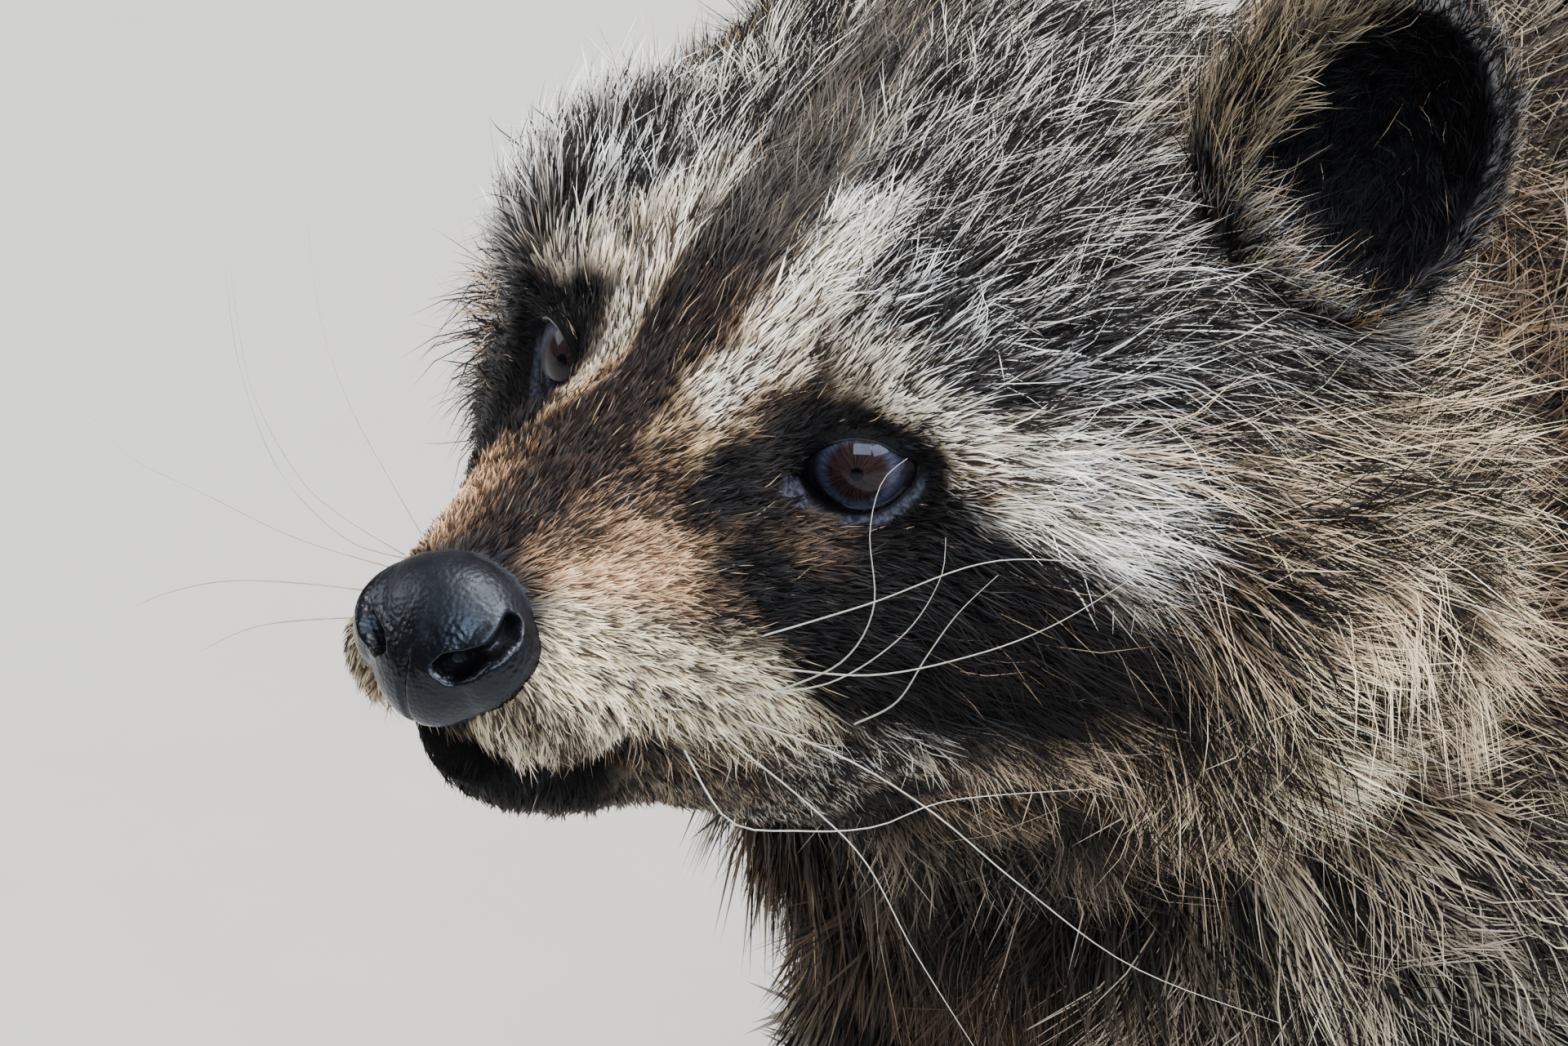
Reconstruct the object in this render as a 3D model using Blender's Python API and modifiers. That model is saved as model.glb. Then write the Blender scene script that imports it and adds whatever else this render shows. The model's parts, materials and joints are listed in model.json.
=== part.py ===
"""A raccoon standing on all fours, life size, out to the tips of its coat.

Lengths are written in millimetres and angles in degrees. The animal faces -Y, +X is
its left and the floor is z = 0. The head is described in its own frame, whose origin
lies midway between the eyes.
"""

import math

import bmesh
import bpy
from mathutils import Matrix, Vector

MM = 0.001
GAP = 0.35                        # clear space between neighbouring pieces

# Driving sizes
HEAD_ORIGIN = (10, -240, 258)     # midway between the eyes
HEAD_TURN = 10                    # to the animal's left
HEAD_LIFT = 18                    # nose up
EYE_RADIUS = 8.3
EYE_CENTRE = (20.2, 7.2, -0.7)
NOSE_CENTRE = (0, -44.5, -25)
STEP = {"L": -14, "R": 12}        # how far each forefoot is moved back
HIND_STEP = {"L": 8, "R": -14}

# Trunk sections from chest to rump: y, centre z, half width, half height
TRUNK = [
    (-196, 150, 14, 20),
    (-188, 153, 38, 44),
    (-172, 159, 56, 66),
    (-145, 165, 70, 81),
    (-100, 164, 78, 88),
    (-30, 168, 86, 94),
    (50, 177, 94, 102),
    (120, 187, 94, 104),
    (180, 190, 84, 95),
    (225, 187, 62, 75),
    (252, 177, 30, 42),
]

# Rounded masses of chest, shoulder and thigh, for the left side: centre and radii
BODY_MASSES = {
    "chest": ((5, -145, 132), (42, 55, 52)),
    "shoulder": ((50, -108, 158), (36, 52, 66)),
    "thigh": ((58, 148, 168), (44, 62, 70)),
}

# Head sections from nose to neck: y, top, bottom, half width, height of the widest place
HEAD = [
    (-46, -16.5, -34.5, 10.5, -25),
    (-41, -13, -36.5, 14, -27),
    (-33, -8, -38, 17.5, -28),
    (-22, -1.5, -40, 20.5, -26),
    (-11, 7, -43, 26, -22),
    (3, 20, -46, 35, -17),
    (20, 32, -52, 46, -14),
    (38, 41.5, -58, 54, -12),
    (56, 46, -60, 60, -12),
    (74, 45, -66, 61, -14),
    (96, 37, -70, 57, -16),
]

# Rounded masses laid over the head sections: centre and radii, for the left side
HEAD_MASSES = {
    "cheek": ((38, 58, -14), (27, 32, 30)),
    "brow": ((21, 12, 6), (14, 14, 11)),
    "whisker_pad": ((9.5, -36, -30), (9.5, 13, 9)),
}

# Lower jaw from chin to throat: centre, half width, half height
JAW = [
    ((0, -39, -40), 6.5, 5),
    ((0, -31, -42.5), 10, 6),
    ((0, -16, -44), 14, 7.5),
    ((0, 4, -46), 20, 10),
    ((0, 28, -48), 28, 14),
]

# The line of the mouth, from before the lips to the throat: y, z
MOUTH = [(-70, -37.5), (-40, -38), (-12, -40.5), (12, -40.5), (24, -46), (30, -60), (31, -95)]

# Legs from top to wrist or ankle: centre, half width, half depth, for the left side
FORELEG = [
    ((48, -108, 165), 34, 44),
    ((58, -98, 126), 29, 37),
    ((60, -90, 96), 23, 28),
    ((58, -100, 66), 18, 20),
    ((56, -108, 36), 14.5, 15.5),
    ((56, -111, 16), 13, 14),
]
HINDLEG = [
    ((50, 160, 205), 42, 58),
    ((64, 142, 158), 40, 58),
    ((70, 130, 118), 33, 42),
    ((68, 156, 86), 24, 29),
    ((63, 184, 58), 17.5, 21),
    ((60, 194, 34), 15, 17.5),
    ((60, 190, 16), 14, 16),
]
TAIL = [
    ((0, 225, 205), 22, 22),
    ((0, 262, 188), 25, 25),
    ((3, 310, 152), 28, 28),
    ((9, 365, 120), 30, 30),
    ((17, 425, 102), 29, 29),
    ((24, 474, 98), 22, 22),
    ((29, 504, 99), 9, 9),
]

# Where the forefoot and the hind foot stand, under the wrist and the ankle
FOREFOOT = (56, -112, 0)
HINDFOOT = (60, 186, 0)
FINGER_FAN = (-40, -18, 1, 20, 42)          # the first is the innermost
FINGER_LENGTH = (25, 33, 35, 33, 25)
TOE_FAN = (-27, -13, 0, 13, 28)
TOE_LENGTH = (19, 25, 27, 25, 19)

COLOURS = {
    "greyFur": (0.30, 0.25, 0.19, 1),
    "darkFur": (0.05, 0.04, 0.035, 1),
    "paleFur": (0.62, 0.55, 0.43, 1),
    "noseSkin": (0.015, 0.015, 0.018, 1),
    "eyeGlass": (0.02, 0.014, 0.012, 1),
    "clawHorn": (0.06, 0.05, 0.045, 1),
}

SIDES = {"L": 1, "R": -1}
head_matrix = (
    Matrix.Translation(Vector(HEAD_ORIGIN) * MM)
    @ Matrix.Rotation(math.radians(HEAD_TURN), 4, "Z")
    @ Matrix.Rotation(math.radians(-HEAD_LIFT), 4, "X")
)


def clear_scene():
    for old in list(bpy.data.objects):
        bpy.data.objects.remove(old)


def metres(point):
    return Vector(point) * MM


def in_head(point):
    """A point of the head's frame in the animal's frame, in metres."""
    return head_matrix @ metres(point)


def mirrored(point, side):
    return (point[0] * side, point[1], point[2])


def add_material(obj, name, roughness):
    material = bpy.data.materials.get(name) or bpy.data.materials.new(name)
    material.use_nodes = True
    shader = material.node_tree.nodes["Principled BSDF"]
    shader.inputs["Base Color"].default_value = COLOURS[name]
    shader.inputs["Roughness"].default_value = roughness
    obj.data.materials.clear()
    obj.data.materials.append(material)


def link_mesh(name, mesh):
    obj = bpy.data.objects.new(name, mesh)
    helpers.objects.link(obj)
    return obj


def from_bmesh(name, bm):
    """The mesh as an object, with its faces pointing out however thin it is."""
    bmesh.ops.recalc_face_normals(bm, faces=bm.faces)
    if bm.calc_volume(signed=True) < 0:
        bmesh.ops.reverse_faces(bm, faces=bm.faces)
    mesh = bpy.data.meshes.new(name)
    bm.to_mesh(mesh)
    bm.free()
    return link_mesh(name, mesh)


def smooth_value(values, t):
    """Catmull-Rom through a list of numbers or vectors, with t from 0 to 1."""
    last = len(values) - 1
    i = min(int(t * last), last - 1)
    u = t * last - i
    a, b = values[max(i - 1, 0)], values[i]
    c, d = values[i + 1], values[min(i + 2, last)]
    return (
        b
        + (c - a) * (0.5 * u)
        + (a * 2 - b * 5 + c * 4 - d) * (0.5 * u * u)
        + (b * 3 - a - c * 3 + d) * (0.5 * u * u * u)
    )


def loft(name, rings):
    """A closed skin over rings of points, each ring with the same number of points."""
    bm = bmesh.new()
    loops = [[bm.verts.new(p) for p in ring] for ring in rings]
    count = len(rings[0])
    for near, far in zip(loops, loops[1:]):
        for i in range(count):
            j = (i + 1) % count
            bm.faces.new((near[i], near[j], far[j], far[i]))
    bm.faces.new(loops[0][::-1])
    bm.faces.new(loops[-1])
    return from_bmesh(name, bm)


def tube(name, stations, steps=24, sides=24, matrix=Matrix()):
    """An elliptic tube through (centre, half width, half height) stations. Widths lie
    along X as far as the path lets them."""
    centres = [metres(s[0]) for s in stations]
    widths = [s[1] * MM for s in stations]
    heights = [s[2] * MM for s in stations]
    rings = []
    for k in range(steps + 1):
        t = k / steps
        ahead = smooth_value(centres, min(t + 0.01, 1))
        along = (ahead - smooth_value(centres, max(t - 0.01, 0))).normalized()
        across = (Vector((1, 0, 0)) - along * along.x).normalized()
        rise = along.cross(across)
        centre = smooth_value(centres, t)
        wide, high = smooth_value(widths, t), smooth_value(heights, t)
        turns = [2 * math.pi * i / sides for i in range(sides)]
        rings.append([
            matrix @ (centre + across * wide * math.cos(a) + rise * high * math.sin(a))
            for a in turns
        ])
    return loft(name, rings)


def head_loft(name):
    """The head's sections: half ellipses above and below the widest place."""
    steps, sides = 30, 32
    columns = [[row[i] * MM for row in HEAD] for i in range(5)]
    rings = []
    for k in range(steps + 1):
        y, top, bottom, wide, level = (smooth_value(c, k / steps) for c in columns)
        ring = []
        for i in range(sides):
            a = 2 * math.pi * i / sides
            reach = (top if math.sin(a) > 0 else bottom) - level
            height = level + abs(math.sin(a)) * reach
            ring.append(head_matrix @ Vector((wide * math.cos(a), y, height)))
        rings.append(ring)
    return loft(name, rings)


def ball(name, centre, radii, matrix=Matrix(), turn=Matrix(), detail=3):
    """An ellipsoid: centre and radii in millimetres."""
    bm = bmesh.new()
    bmesh.ops.create_icosphere(bm, subdivisions=detail, radius=1)
    scale = Matrix.Diagonal((*metres(radii), 1))
    bm.transform(matrix @ Matrix.Translation(metres(centre)) @ turn @ scale)
    return from_bmesh(name, bm)


def block(name, low, high):
    bm = bmesh.new()
    bmesh.ops.create_cube(bm, size=1)
    low, high = metres(low), metres(high)
    size = Matrix.Diagonal((*(high - low), 1))
    bm.transform(Matrix.Translation((low + high) / 2) @ size)
    return from_bmesh(name, bm)


def plate(name, centre, normal, radius):
    """A thin round disc whose thickness is the gap that it cuts."""
    bm = bmesh.new()
    bmesh.ops.create_cone(
        bm, cap_ends=True, segments=32, radius1=radius * MM, radius2=radius * MM,
        depth=GAP * MM,
    )
    turn = Vector(normal).to_track_quat("Z", "Y").to_matrix().to_4x4()
    bm.transform(Matrix.Translation(centre) @ turn)
    return from_bmesh(name, bm)


def ribbon(name, path, half_width, matrix):
    """A wide thin sheet along a path of (y, z) points, as thick as the gap."""
    bm = bmesh.new()
    rows, steps = [], 24
    for k in range(steps + 1):
        y = smooth_value([p[0] * MM for p in path], k / steps)
        z = smooth_value([p[1] * MM for p in path], k / steps)
        ends = [matrix @ Vector((x * MM, y, z)) for x in (-half_width, half_width)]
        rows.append([bm.verts.new(p) for p in ends])
    for near, far in zip(rows, rows[1:]):
        bm.faces.new((near[0], near[1], far[1], far[0]))
    sheet = from_bmesh(name, bm)
    modify(sheet, "SOLIDIFY", thickness=GAP * MM, offset=0)
    return baked(sheet)


def modify(obj, kind, **settings):
    modifier = obj.modifiers.new(kind.title(), kind)
    for key, value in settings.items():
        setattr(modifier, key, value)
    return obj


def baked(obj):
    """The object with its modifiers made part of its mesh."""
    bpy.context.view_layer.update()
    graph = bpy.context.evaluated_depsgraph_get()
    mesh = bpy.data.meshes.new_from_object(obj.evaluated_get(graph))
    obj.modifiers.clear()
    obj.data = mesh
    return obj


def joined(name, pieces):
    bm = bmesh.new()
    for piece in pieces:
        bm.from_mesh(piece.data)
        bpy.data.objects.remove(piece)
    mesh = bpy.data.meshes.new(name)
    bm.to_mesh(mesh)
    bm.free()
    return link_mesh(name, mesh)


def fused(name, pieces, voxel, smoothing, triangles):
    """One smooth body out of overlapping pieces, with about that many triangles."""
    body = joined(name, pieces)
    modify(body, "REMESH", mode="VOXEL", voxel_size=voxel * MM)
    modify(body, "SMOOTH", factor=0.5, iterations=smoothing)
    baked(body)
    modify(body, "TRIANGULATE")
    baked(body)
    share = triangles / len(body.data.polygons)
    modify(body, "DECIMATE", ratio=min(1, share))
    return baked(body)


def grown(source, by=GAP):
    """A copy that stands out by the gap all round, as a cutter."""
    copy = link_mesh(source.name + "_grown", source.data.copy())
    modify(copy, "DISPLACE", strength=by * MM, mid_level=0)
    return baked(copy)


def cut(obj, cutter, operation="DIFFERENCE", keep_cutter=False):
    modify(obj, "BOOLEAN", operation=operation, object=cutter, solver="EXACT")
    baked(obj)
    if not keep_cutter:
        bpy.data.objects.remove(cutter)
    return obj


def parted(obj, names):
    """Splits a body that has been cut right through. names maps each piece's name to a
    point, in metres, and a piece takes the name whose point lies nearest to it."""
    bm = bmesh.new()
    bm.from_mesh(obj.data)
    bpy.data.objects.remove(obj)
    left, islands = set(bm.verts), []
    while left:
        found, edge = set(), [left.pop()]
        while edge:
            vert = edge.pop()
            found.add(vert)
            for link in vert.link_edges:
                other = link.other_vert(vert)
                if other in left:
                    left.discard(other)
                    edge.append(other)
        islands.append(found)
    pieces = {}
    for name, point in names.items():
        island = min(islands, key=lambda s: min((v.co - point).length for v in s))
        copy = bm.copy()
        keep = {v.index for v in island}
        copy.verts.ensure_lookup_table()
        drop = [v for v in copy.verts if v.index not in keep]
        bmesh.ops.delete(copy, geom=drop, context="VERTS")
        pieces[name] = from_bmesh(name, copy)
    bm.free()
    return pieces


def shell_round(name, stations):
    """A thin-walled open-bottomed sleeve that parts a leg from the trunk."""
    sleeve = tube(name, stations, steps=8, sides=20)
    modify(sleeve, "SOLIDIFY", thickness=GAP * MM, offset=0)
    return baked(sleeve)


def make_body():
    """Neck, trunk, tail and the four legs down to the wrists and ankles."""
    masses = [tube("trunk_mass", [((0, y, z), w, h) for y, z, w, h in TRUNK])]
    masses.append(tube("tail_mass", TAIL))
    masses += [head_loft("head_mass"), tube("neck_mass", neck_stations())]
    for name, (centre, radii) in BODY_MASSES.items():
        for sign in SIDES.values():
            masses.append(ball(name, mirrored(centre, sign), radii))
    for side, sign in SIDES.items():
        for kind, legs, steps in (("fore", FORELEG, STEP), ("hind", HINDLEG, HIND_STEP)):
            masses.append(tube(f"{kind}leg_mass_{side}", leg_stations(legs, sign, steps[side])))
    body = fused("body", masses, voxel=4.5, smoothing=9, triangles=1500)

    sleeves = []
    for side, sign in SIDES.items():
        back = STEP[side] * 0.5
        sleeves.append(shell_round(f"fore_sleeve_{side}", [
            ((70 * sign, -96 + back, 182), 3, 3),
            ((70 * sign, -96 + back, 176), 22, 28),
            ((70 * sign, -96 + back, 150), 37, 45),
            ((70 * sign, -98 + back, 90), 40, 50),
            ((66 * sign, -100 + back, -20), 40, 52),
        ]))
        back = HIND_STEP[side] * 0.5
        sleeves.append(shell_round(f"hind_sleeve_{side}", [
            ((80 * sign, 160 + back, 226), 3, 3),
            ((80 * sign, 160 + back, 218), 26, 40),
            ((80 * sign, 158 + back, 185), 43, 64),
            ((80 * sign, 156 + back, 130), 47, 72),
            ((76 * sign, 158 + back, -20), 47, 76),
        ]))
    cutters = sleeves + [
        plate("tail_cut", metres((0, 273, 182)), (0, 0.93, -0.36), 46),
        neck_plate("neck_cut"),
        skull_plate("skull_cut"),
    ]
    for cutter in cutters:
        cut(body, cutter)
    names = {
        "neck": metres((0, -205, 160)),
        "trunk": metres((0, 20, 70)),
        "tail": metres(TAIL[4][0]),
    }
    for side, sign in SIDES.items():
        names[f"foreleg_{side}"] = metres((60 * sign, -90, 95))
        names[f"hindleg_{side}"] = metres((78 * sign, 130, 110))
    return parted(body, names)


def leg_stations(legs, sign, back):
    """The leg's stations on one side, with the foot moved back by that much."""
    top = legs[0][0][2]
    moved = []
    for (x, y, z), wide, deep in legs:
        moved.append(((x * sign, y + back * (1 - z / top), z), wide, deep))
    return moved


def neck_stations():
    """From inside the skull to between the shoulders."""
    start = in_head((0, 62, -10)) / MM
    middle = in_head((0, 90, -26)) / MM
    return [
        (tuple(start), 44, 42),
        (tuple(middle), 52, 55),
        ((1, -138, 186), 60, 74),
        ((0, -100, 170), 68, 78),
    ]


def skull_plate(name):
    back_of_skull = head_matrix.to_3x3() @ Vector((0, 0.935, -0.355))
    return plate(name, in_head((0, 64, -10)), back_of_skull, 130)


def neck_plate(name):
    return plate(name, metres((2, -158, 186)), (-0.05, 0.8, -0.6), 140)


def make_head(nose):
    """Head and jaw, with hollows for the eyes and a seat for the nose."""
    masses = [head_loft("head_mass"), tube("jaw_mass", JAW, matrix=head_matrix)]
    masses.append(tube("neck_mass", neck_stations()))
    for name, (centre, radii) in HEAD_MASSES.items():
        for sign in SIDES.values():
            masses.append(ball(name, mirrored(centre, sign), radii, head_matrix))
    head = fused("head_body", masses, voxel=2.2, smoothing=7, triangles=1250)

    for sign in SIDES.values():
        x, y, z = EYE_CENTRE
        ball_room = [EYE_RADIUS + GAP] * 3
        cut(head, ball("eye_room", (x * sign, y, z), ball_room, head_matrix))
        turn = Matrix.Rotation(math.radians(38 * sign), 4, "Z")
        cut(head, ball("lid_room", (26.5 * sign, -3, z), (8.6, 7, 5.2), head_matrix, turn))
    cut(head, grown(nose))
    cut(head, skull_plate("skull_cut"))
    cut(head, ribbon("lips_cut", MOUTH, 80, head_matrix))
    return parted(head, {"head": in_head((0, 30, 36)), "jaw": in_head((0, -16, -50))})


def make_ears(head):
    """Rounded cups that face forwards and outwards."""
    ears = {}
    for side, sign in SIDES.items():
        turn = (
            Matrix.Rotation(math.radians(38 * sign), 4, "Z")
            @ Matrix.Rotation(math.radians(22 * sign), 4, "Y")
            @ Matrix.Rotation(math.radians(-8), 4, "X")
        )
        centre = (51 * sign, 57, 41.5)
        place = head_matrix @ Matrix.Translation(metres(centre)) @ turn
        cup = ball("cup", (0, 3, -1), (19, 12.5, 25.5), place, detail=4)
        cut(cup, ball("cup_room", (0, -7.5, 0), (15.2, 14.5, 20.8), place, detail=4))
        front = block("cup_front", (-60, -60, -60), (60, -5, 60))
        front.data.transform(place)
        cut(cup, front)
        ear = fused(f"ear_{side}", [cup], voxel=1.3, smoothing=4, triangles=240)
        ears[f"ear_{side}"] = cut(ear, grown(head))
    return ears


def make_nose():
    """The bare nose pad with its two comma-shaped nostrils."""
    x, y, z = NOSE_CENTRE
    lobes = [
        ball("pad", (x, y, z + 0.5), (11.2, 7.8, 9.4), head_matrix),
        ball("tip", (x, y - 2.5, z - 2), (7.8, 6, 7.4), head_matrix),
        ball("root", (x, y + 5, z + 3.5), (9.4, 8, 7), head_matrix),
    ]
    for sign in SIDES.values():
        lobes.append(ball("wing", (7.6 * sign, y - 0.5, z - 0.5), (4.8, 5.8, 6.2), head_matrix))
    nose = fused("nose", lobes, voxel=0.9, smoothing=4, triangles=760)
    for sign in SIDES.values():
        cut(nose, ball("nostril", (4.9 * sign, y - 8.2, z - 1.6), (2.5, 3.6, 2.1), head_matrix))
        slit = Matrix.Rotation(math.radians(-24 * sign), 4, "Y")
        cut(nose, ball("slit", (8.9 * sign, y - 5, z - 0.2), (4, 3.2, 1), head_matrix, slit))
    modify(nose, "DECIMATE", ratio=340 / len(nose.data.polygons))
    return baked(nose)


def make_paw(name, side, sign, foot, fan, lengths, hind):
    """A flat-soled foot of five toes, and its five claws."""
    back = (HIND_STEP if hind else STEP)[side]
    place = Matrix.Translation(metres((foot[0] * sign, foot[1] + back, 0)))
    turn = Matrix.Rotation(math.radians(8 * sign), 4, "Z")
    place = place @ turn
    ankle = 16 if hind else 13.5
    if hind:
        pads = [
            tube("sole", [((0, 22, 11), 10, 10), ((0, 10, 10), 13, 12), ((0, -14, 9), 15, 10),
                          ((0, -36, 8), 19, 9), ((0, -48, 7), 15, 7)], matrix=place),
            tube("ankle", [((0, 5, 46), ankle - 2, ankle), ((0, 4, 14), ankle - 2, ankle - 1)],
                 matrix=place),
        ]
        root, knuckle = Vector((0, -30, 7.5)), 17
    else:
        pads = [
            ball("palm", (0, -12, 7.5), (18, 17, 10), place),
            tube("wrist", [((0, 3, 44), ankle, ankle), ((0, -3, 12), ankle + 1, ankle)],
                 matrix=place),
        ]
        root, knuckle = Vector((0, -10, 8)), 15
    claws = []
    for i, (angle, length) in enumerate(zip(fan, lengths)):
        heading = math.radians(angle * sign)
        way = Vector((math.sin(heading), -math.cos(heading), 0))
        reach = [root + way * knuckle * 0.6, root + way * knuckle, root + way * (knuckle + length)]
        middle = (reach[1] + reach[2]) / 2
        tip = reach[2]
        pads.append(tube("toe", [
            (reach[0], 6.2, 5.6),
            (reach[1] + Vector((0, 0, 0.6)), 5.4, 5.2),
            (middle + Vector((0, 0, 0.2)), 4.8, 4.6),
            (tip - way * 4 - Vector((0, 0, 3)), 4.6, 4.2),
            (tip - Vector((0, 0, 3.4)), 2.6, 2.4),
        ], steps=12, sides=14, matrix=place))
        claws.append(tube(f"claw_{name}_{i + 1}", [
            (tip - way * 4 - Vector((0, 0, 0.6)), 1.9, 2.1),
            (tip + way * 1.5 - Vector((0, 0, 1.2)), 1.6, 1.9),
            (tip + way * 5.5 - Vector((0, 0, 3)), 1.15, 1.4),
            (tip + way * 8.5 - Vector((0, 0, 6)), 0.45, 0.5),
        ], steps=3, sides=5, matrix=place))
    paw = fused(name, pads, voxel=1.7, smoothing=3, triangles=230)
    cut(paw, block("floor", (-400, -600, -50), (400, 600, 0)))
    limb_end = 26 if hind else 28
    cut(paw, block("above", (-400, -600, limb_end), (400, 600, 200)))
    cutter = grown(paw)
    for claw in claws:
        cut(claw, cutter, keep_cutter=True)
    bpy.data.objects.remove(cutter)
    return {name: paw, **{c.name: c for c in claws}}


def make_limbs_end(body):
    """Trims the legs just above the paws."""
    for side in SIDES:
        for name, limb_end in ((f"foreleg_{side}", 28), (f"hindleg_{side}", 26)):
            low = block("below", (-400, -600, -50), (400, 600, limb_end + GAP))
            cut(body[name], low)


def finish(pieces):
    """Colours the pieces and sets them down with the origin under their middle."""
    finishes = {"nose": ("noseSkin", 0.35), "eye": ("eyeGlass", 0.08), "claw": ("clawHorn", 0.4)}
    dark = ("foreleg", "hindleg", "ear")
    pale = ("jaw", "forepaw", "hindpaw")
    corners = [v.co for obj in pieces.values() for v in obj.data.vertices]
    low = [min(c[i] for c in corners) for i in range(3)]
    high = [max(c[i] for c in corners) for i in range(3)]
    shift = Vector((-(low[0] + high[0]) / 2, -(low[1] + high[1]) / 2, -low[2]))
    for name, obj in pieces.items():
        kind = name.split("_")[0]
        finish_name, roughness = finishes.get(kind, ("greyFur", 0.8))
        if kind in dark:
            finish_name = "darkFur"
        if kind in pale:
            finish_name = "paleFur"
        obj.name = name
        obj.data.name = name
        obj.data.transform(Matrix.Translation(shift))
        add_material(obj, finish_name, roughness)
        helpers.objects.unlink(obj)
        raccoon.objects.link(obj)


clear_scene()
raccoon = bpy.data.collections.new("raccoon")
helpers = bpy.data.collections.new("helpers")
bpy.context.scene.collection.children.link(raccoon)
bpy.context.scene.collection.children.link(helpers)

pieces = make_body()
make_limbs_end(pieces)
pieces["nose"] = make_nose()
pieces.update(make_head(pieces["nose"]))
pieces.update(make_ears(pieces["head"]))
for side, sign in SIDES.items():
    centre = mirrored(EYE_CENTRE, sign)
    pieces[f"eye_{side}"] = ball(f"eye_{side}", centre, [EYE_RADIUS] * 3, head_matrix)
    pieces.update(make_paw(f"forepaw_{side}", side, sign, FOREFOOT, FINGER_FAN, FINGER_LENGTH, False))
    pieces.update(make_paw(f"hindpaw_{side}", side, sign, HINDFOOT, TOE_FAN, TOE_LENGTH, True))
finish(pieces)
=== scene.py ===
import json
import math
import time

import bmesh
import bpy
import numpy as np
from mathutils import Matrix, Vector
from mathutils.bvhtree import BVHTree
from mathutils.kdtree import KDTree

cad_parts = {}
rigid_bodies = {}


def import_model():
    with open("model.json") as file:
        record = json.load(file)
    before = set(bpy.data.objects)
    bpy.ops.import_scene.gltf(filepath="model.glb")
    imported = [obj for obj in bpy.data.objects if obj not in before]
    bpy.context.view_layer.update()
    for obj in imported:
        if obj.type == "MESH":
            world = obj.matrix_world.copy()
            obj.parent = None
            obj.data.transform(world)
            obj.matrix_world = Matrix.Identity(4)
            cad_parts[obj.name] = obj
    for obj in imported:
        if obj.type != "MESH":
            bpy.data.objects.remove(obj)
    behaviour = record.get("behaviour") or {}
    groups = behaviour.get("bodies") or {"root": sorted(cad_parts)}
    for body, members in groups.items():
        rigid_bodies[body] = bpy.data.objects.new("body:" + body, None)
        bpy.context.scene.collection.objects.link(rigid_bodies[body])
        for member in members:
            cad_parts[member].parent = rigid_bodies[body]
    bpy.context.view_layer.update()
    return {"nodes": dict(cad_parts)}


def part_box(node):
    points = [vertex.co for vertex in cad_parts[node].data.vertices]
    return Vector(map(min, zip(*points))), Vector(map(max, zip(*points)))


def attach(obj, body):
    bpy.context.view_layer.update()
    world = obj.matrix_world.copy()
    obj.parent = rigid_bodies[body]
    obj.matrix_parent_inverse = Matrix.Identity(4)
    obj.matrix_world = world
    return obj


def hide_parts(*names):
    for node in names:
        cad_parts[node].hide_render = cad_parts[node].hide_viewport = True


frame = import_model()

nodes = frame["nodes"]
startTime = time.time()


def say(stage):
    print(f"[{time.time() - startTime:5.1f} s] {stage}")


# lengths are in millimetres throughout, and become metres in meshFrom


def unit(vectors):
    return vectors / np.maximum(np.linalg.norm(vectors, axis=-1, keepdims=True), 1e-9)


def ease(value, low, high):
    share = np.clip((value - low) / (high - low), 0, 1)
    return share * share * (3 - 2 * share)


def mixed(a, b, share):
    return a + (b - a) * share


def dots(a, b):
    return (a * b).sum(-1, keepdims=True)


def waves(points, size, seed, layers=7):
    # smooth noise of about -1 to 1, its hills about `size` across
    random = np.random.default_rng(seed)
    total = 0
    for _ in range(layers):
        way = unit(random.normal(size=3)) * 2 * math.pi / (size * random.uniform(1.2, 3))
        total = total + np.sin(points @ way + random.uniform(0, 6.28))
    return total / math.sqrt(layers)


def numbers(collection, key, width, kind=np.float32):
    found = np.zeros(len(collection) * width, kind)
    collection.foreach_get(key, found)
    return found.reshape(-1, width) if width > 1 else found


def meshFrom(name, verts, faces, smooth=True):
    mesh = bpy.data.meshes.new(name)
    faces = np.asarray(faces, np.int32)
    mesh.vertices.add(len(verts))
    mesh.vertices.foreach_set("co", (np.asarray(verts) * 0.001).astype(np.float32).ravel())
    mesh.loops.add(faces.size)
    mesh.loops.foreach_set("vertex_index", faces.ravel())
    mesh.polygons.add(len(faces))
    starts = np.arange(len(faces), dtype=np.int32) * faces.shape[1]
    mesh.polygons.foreach_set("loop_start", starts)
    mesh.update(calc_edges=True)
    mesh.polygons.foreach_set("use_smooth", np.full(len(faces), smooth))
    return mesh


def give(mesh, name, values, kind="FLOAT"):
    layer = mesh.attributes.new(name, kind, "POINT")
    values = np.asarray(values, np.float32)
    if kind == "FLOAT_COLOR":
        values = np.hstack([values, np.ones((len(values), 1), np.float32)])
    key = {"FLOAT": "value", "FLOAT_VECTOR": "vector", "FLOAT_COLOR": "color"}[kind]
    layer.data.foreach_set(key, values.ravel())


def giveMap(mesh, corners):
    layer = mesh.uv_layers.new(name="OFBake")
    layer.uv.foreach_set("vector", corners.astype(np.float32).ravel())


def shown(name, mesh, material, replaced=()):
    piece = bpy.data.objects.new(name, mesh)
    bpy.context.scene.collection.objects.link(piece)
    mesh.materials.clear()
    mesh.materials.append(material)
    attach(piece, "root")
    if replaced:
        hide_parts(*replaced)
    return piece


def applied(piece):
    bpy.context.view_layer.update()
    seen = piece.evaluated_get(bpy.context.evaluated_depsgraph_get())
    mesh = bpy.data.meshes.new_from_object(seen)
    piece.modifiers.clear()
    piece.data = mesh
    return piece


# the head's own frame: x to the animal's left, -y out of the nose, z up

headPose = {
    "turn": 10,  # degrees to its left
    "lift": 18,
    "eyeSpot": (0, 7.2, -0.7),  # halfway between the eyes
}


def boxCentre(name):
    low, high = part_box(name)
    return np.array((low + high) / 2) * 1000


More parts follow.
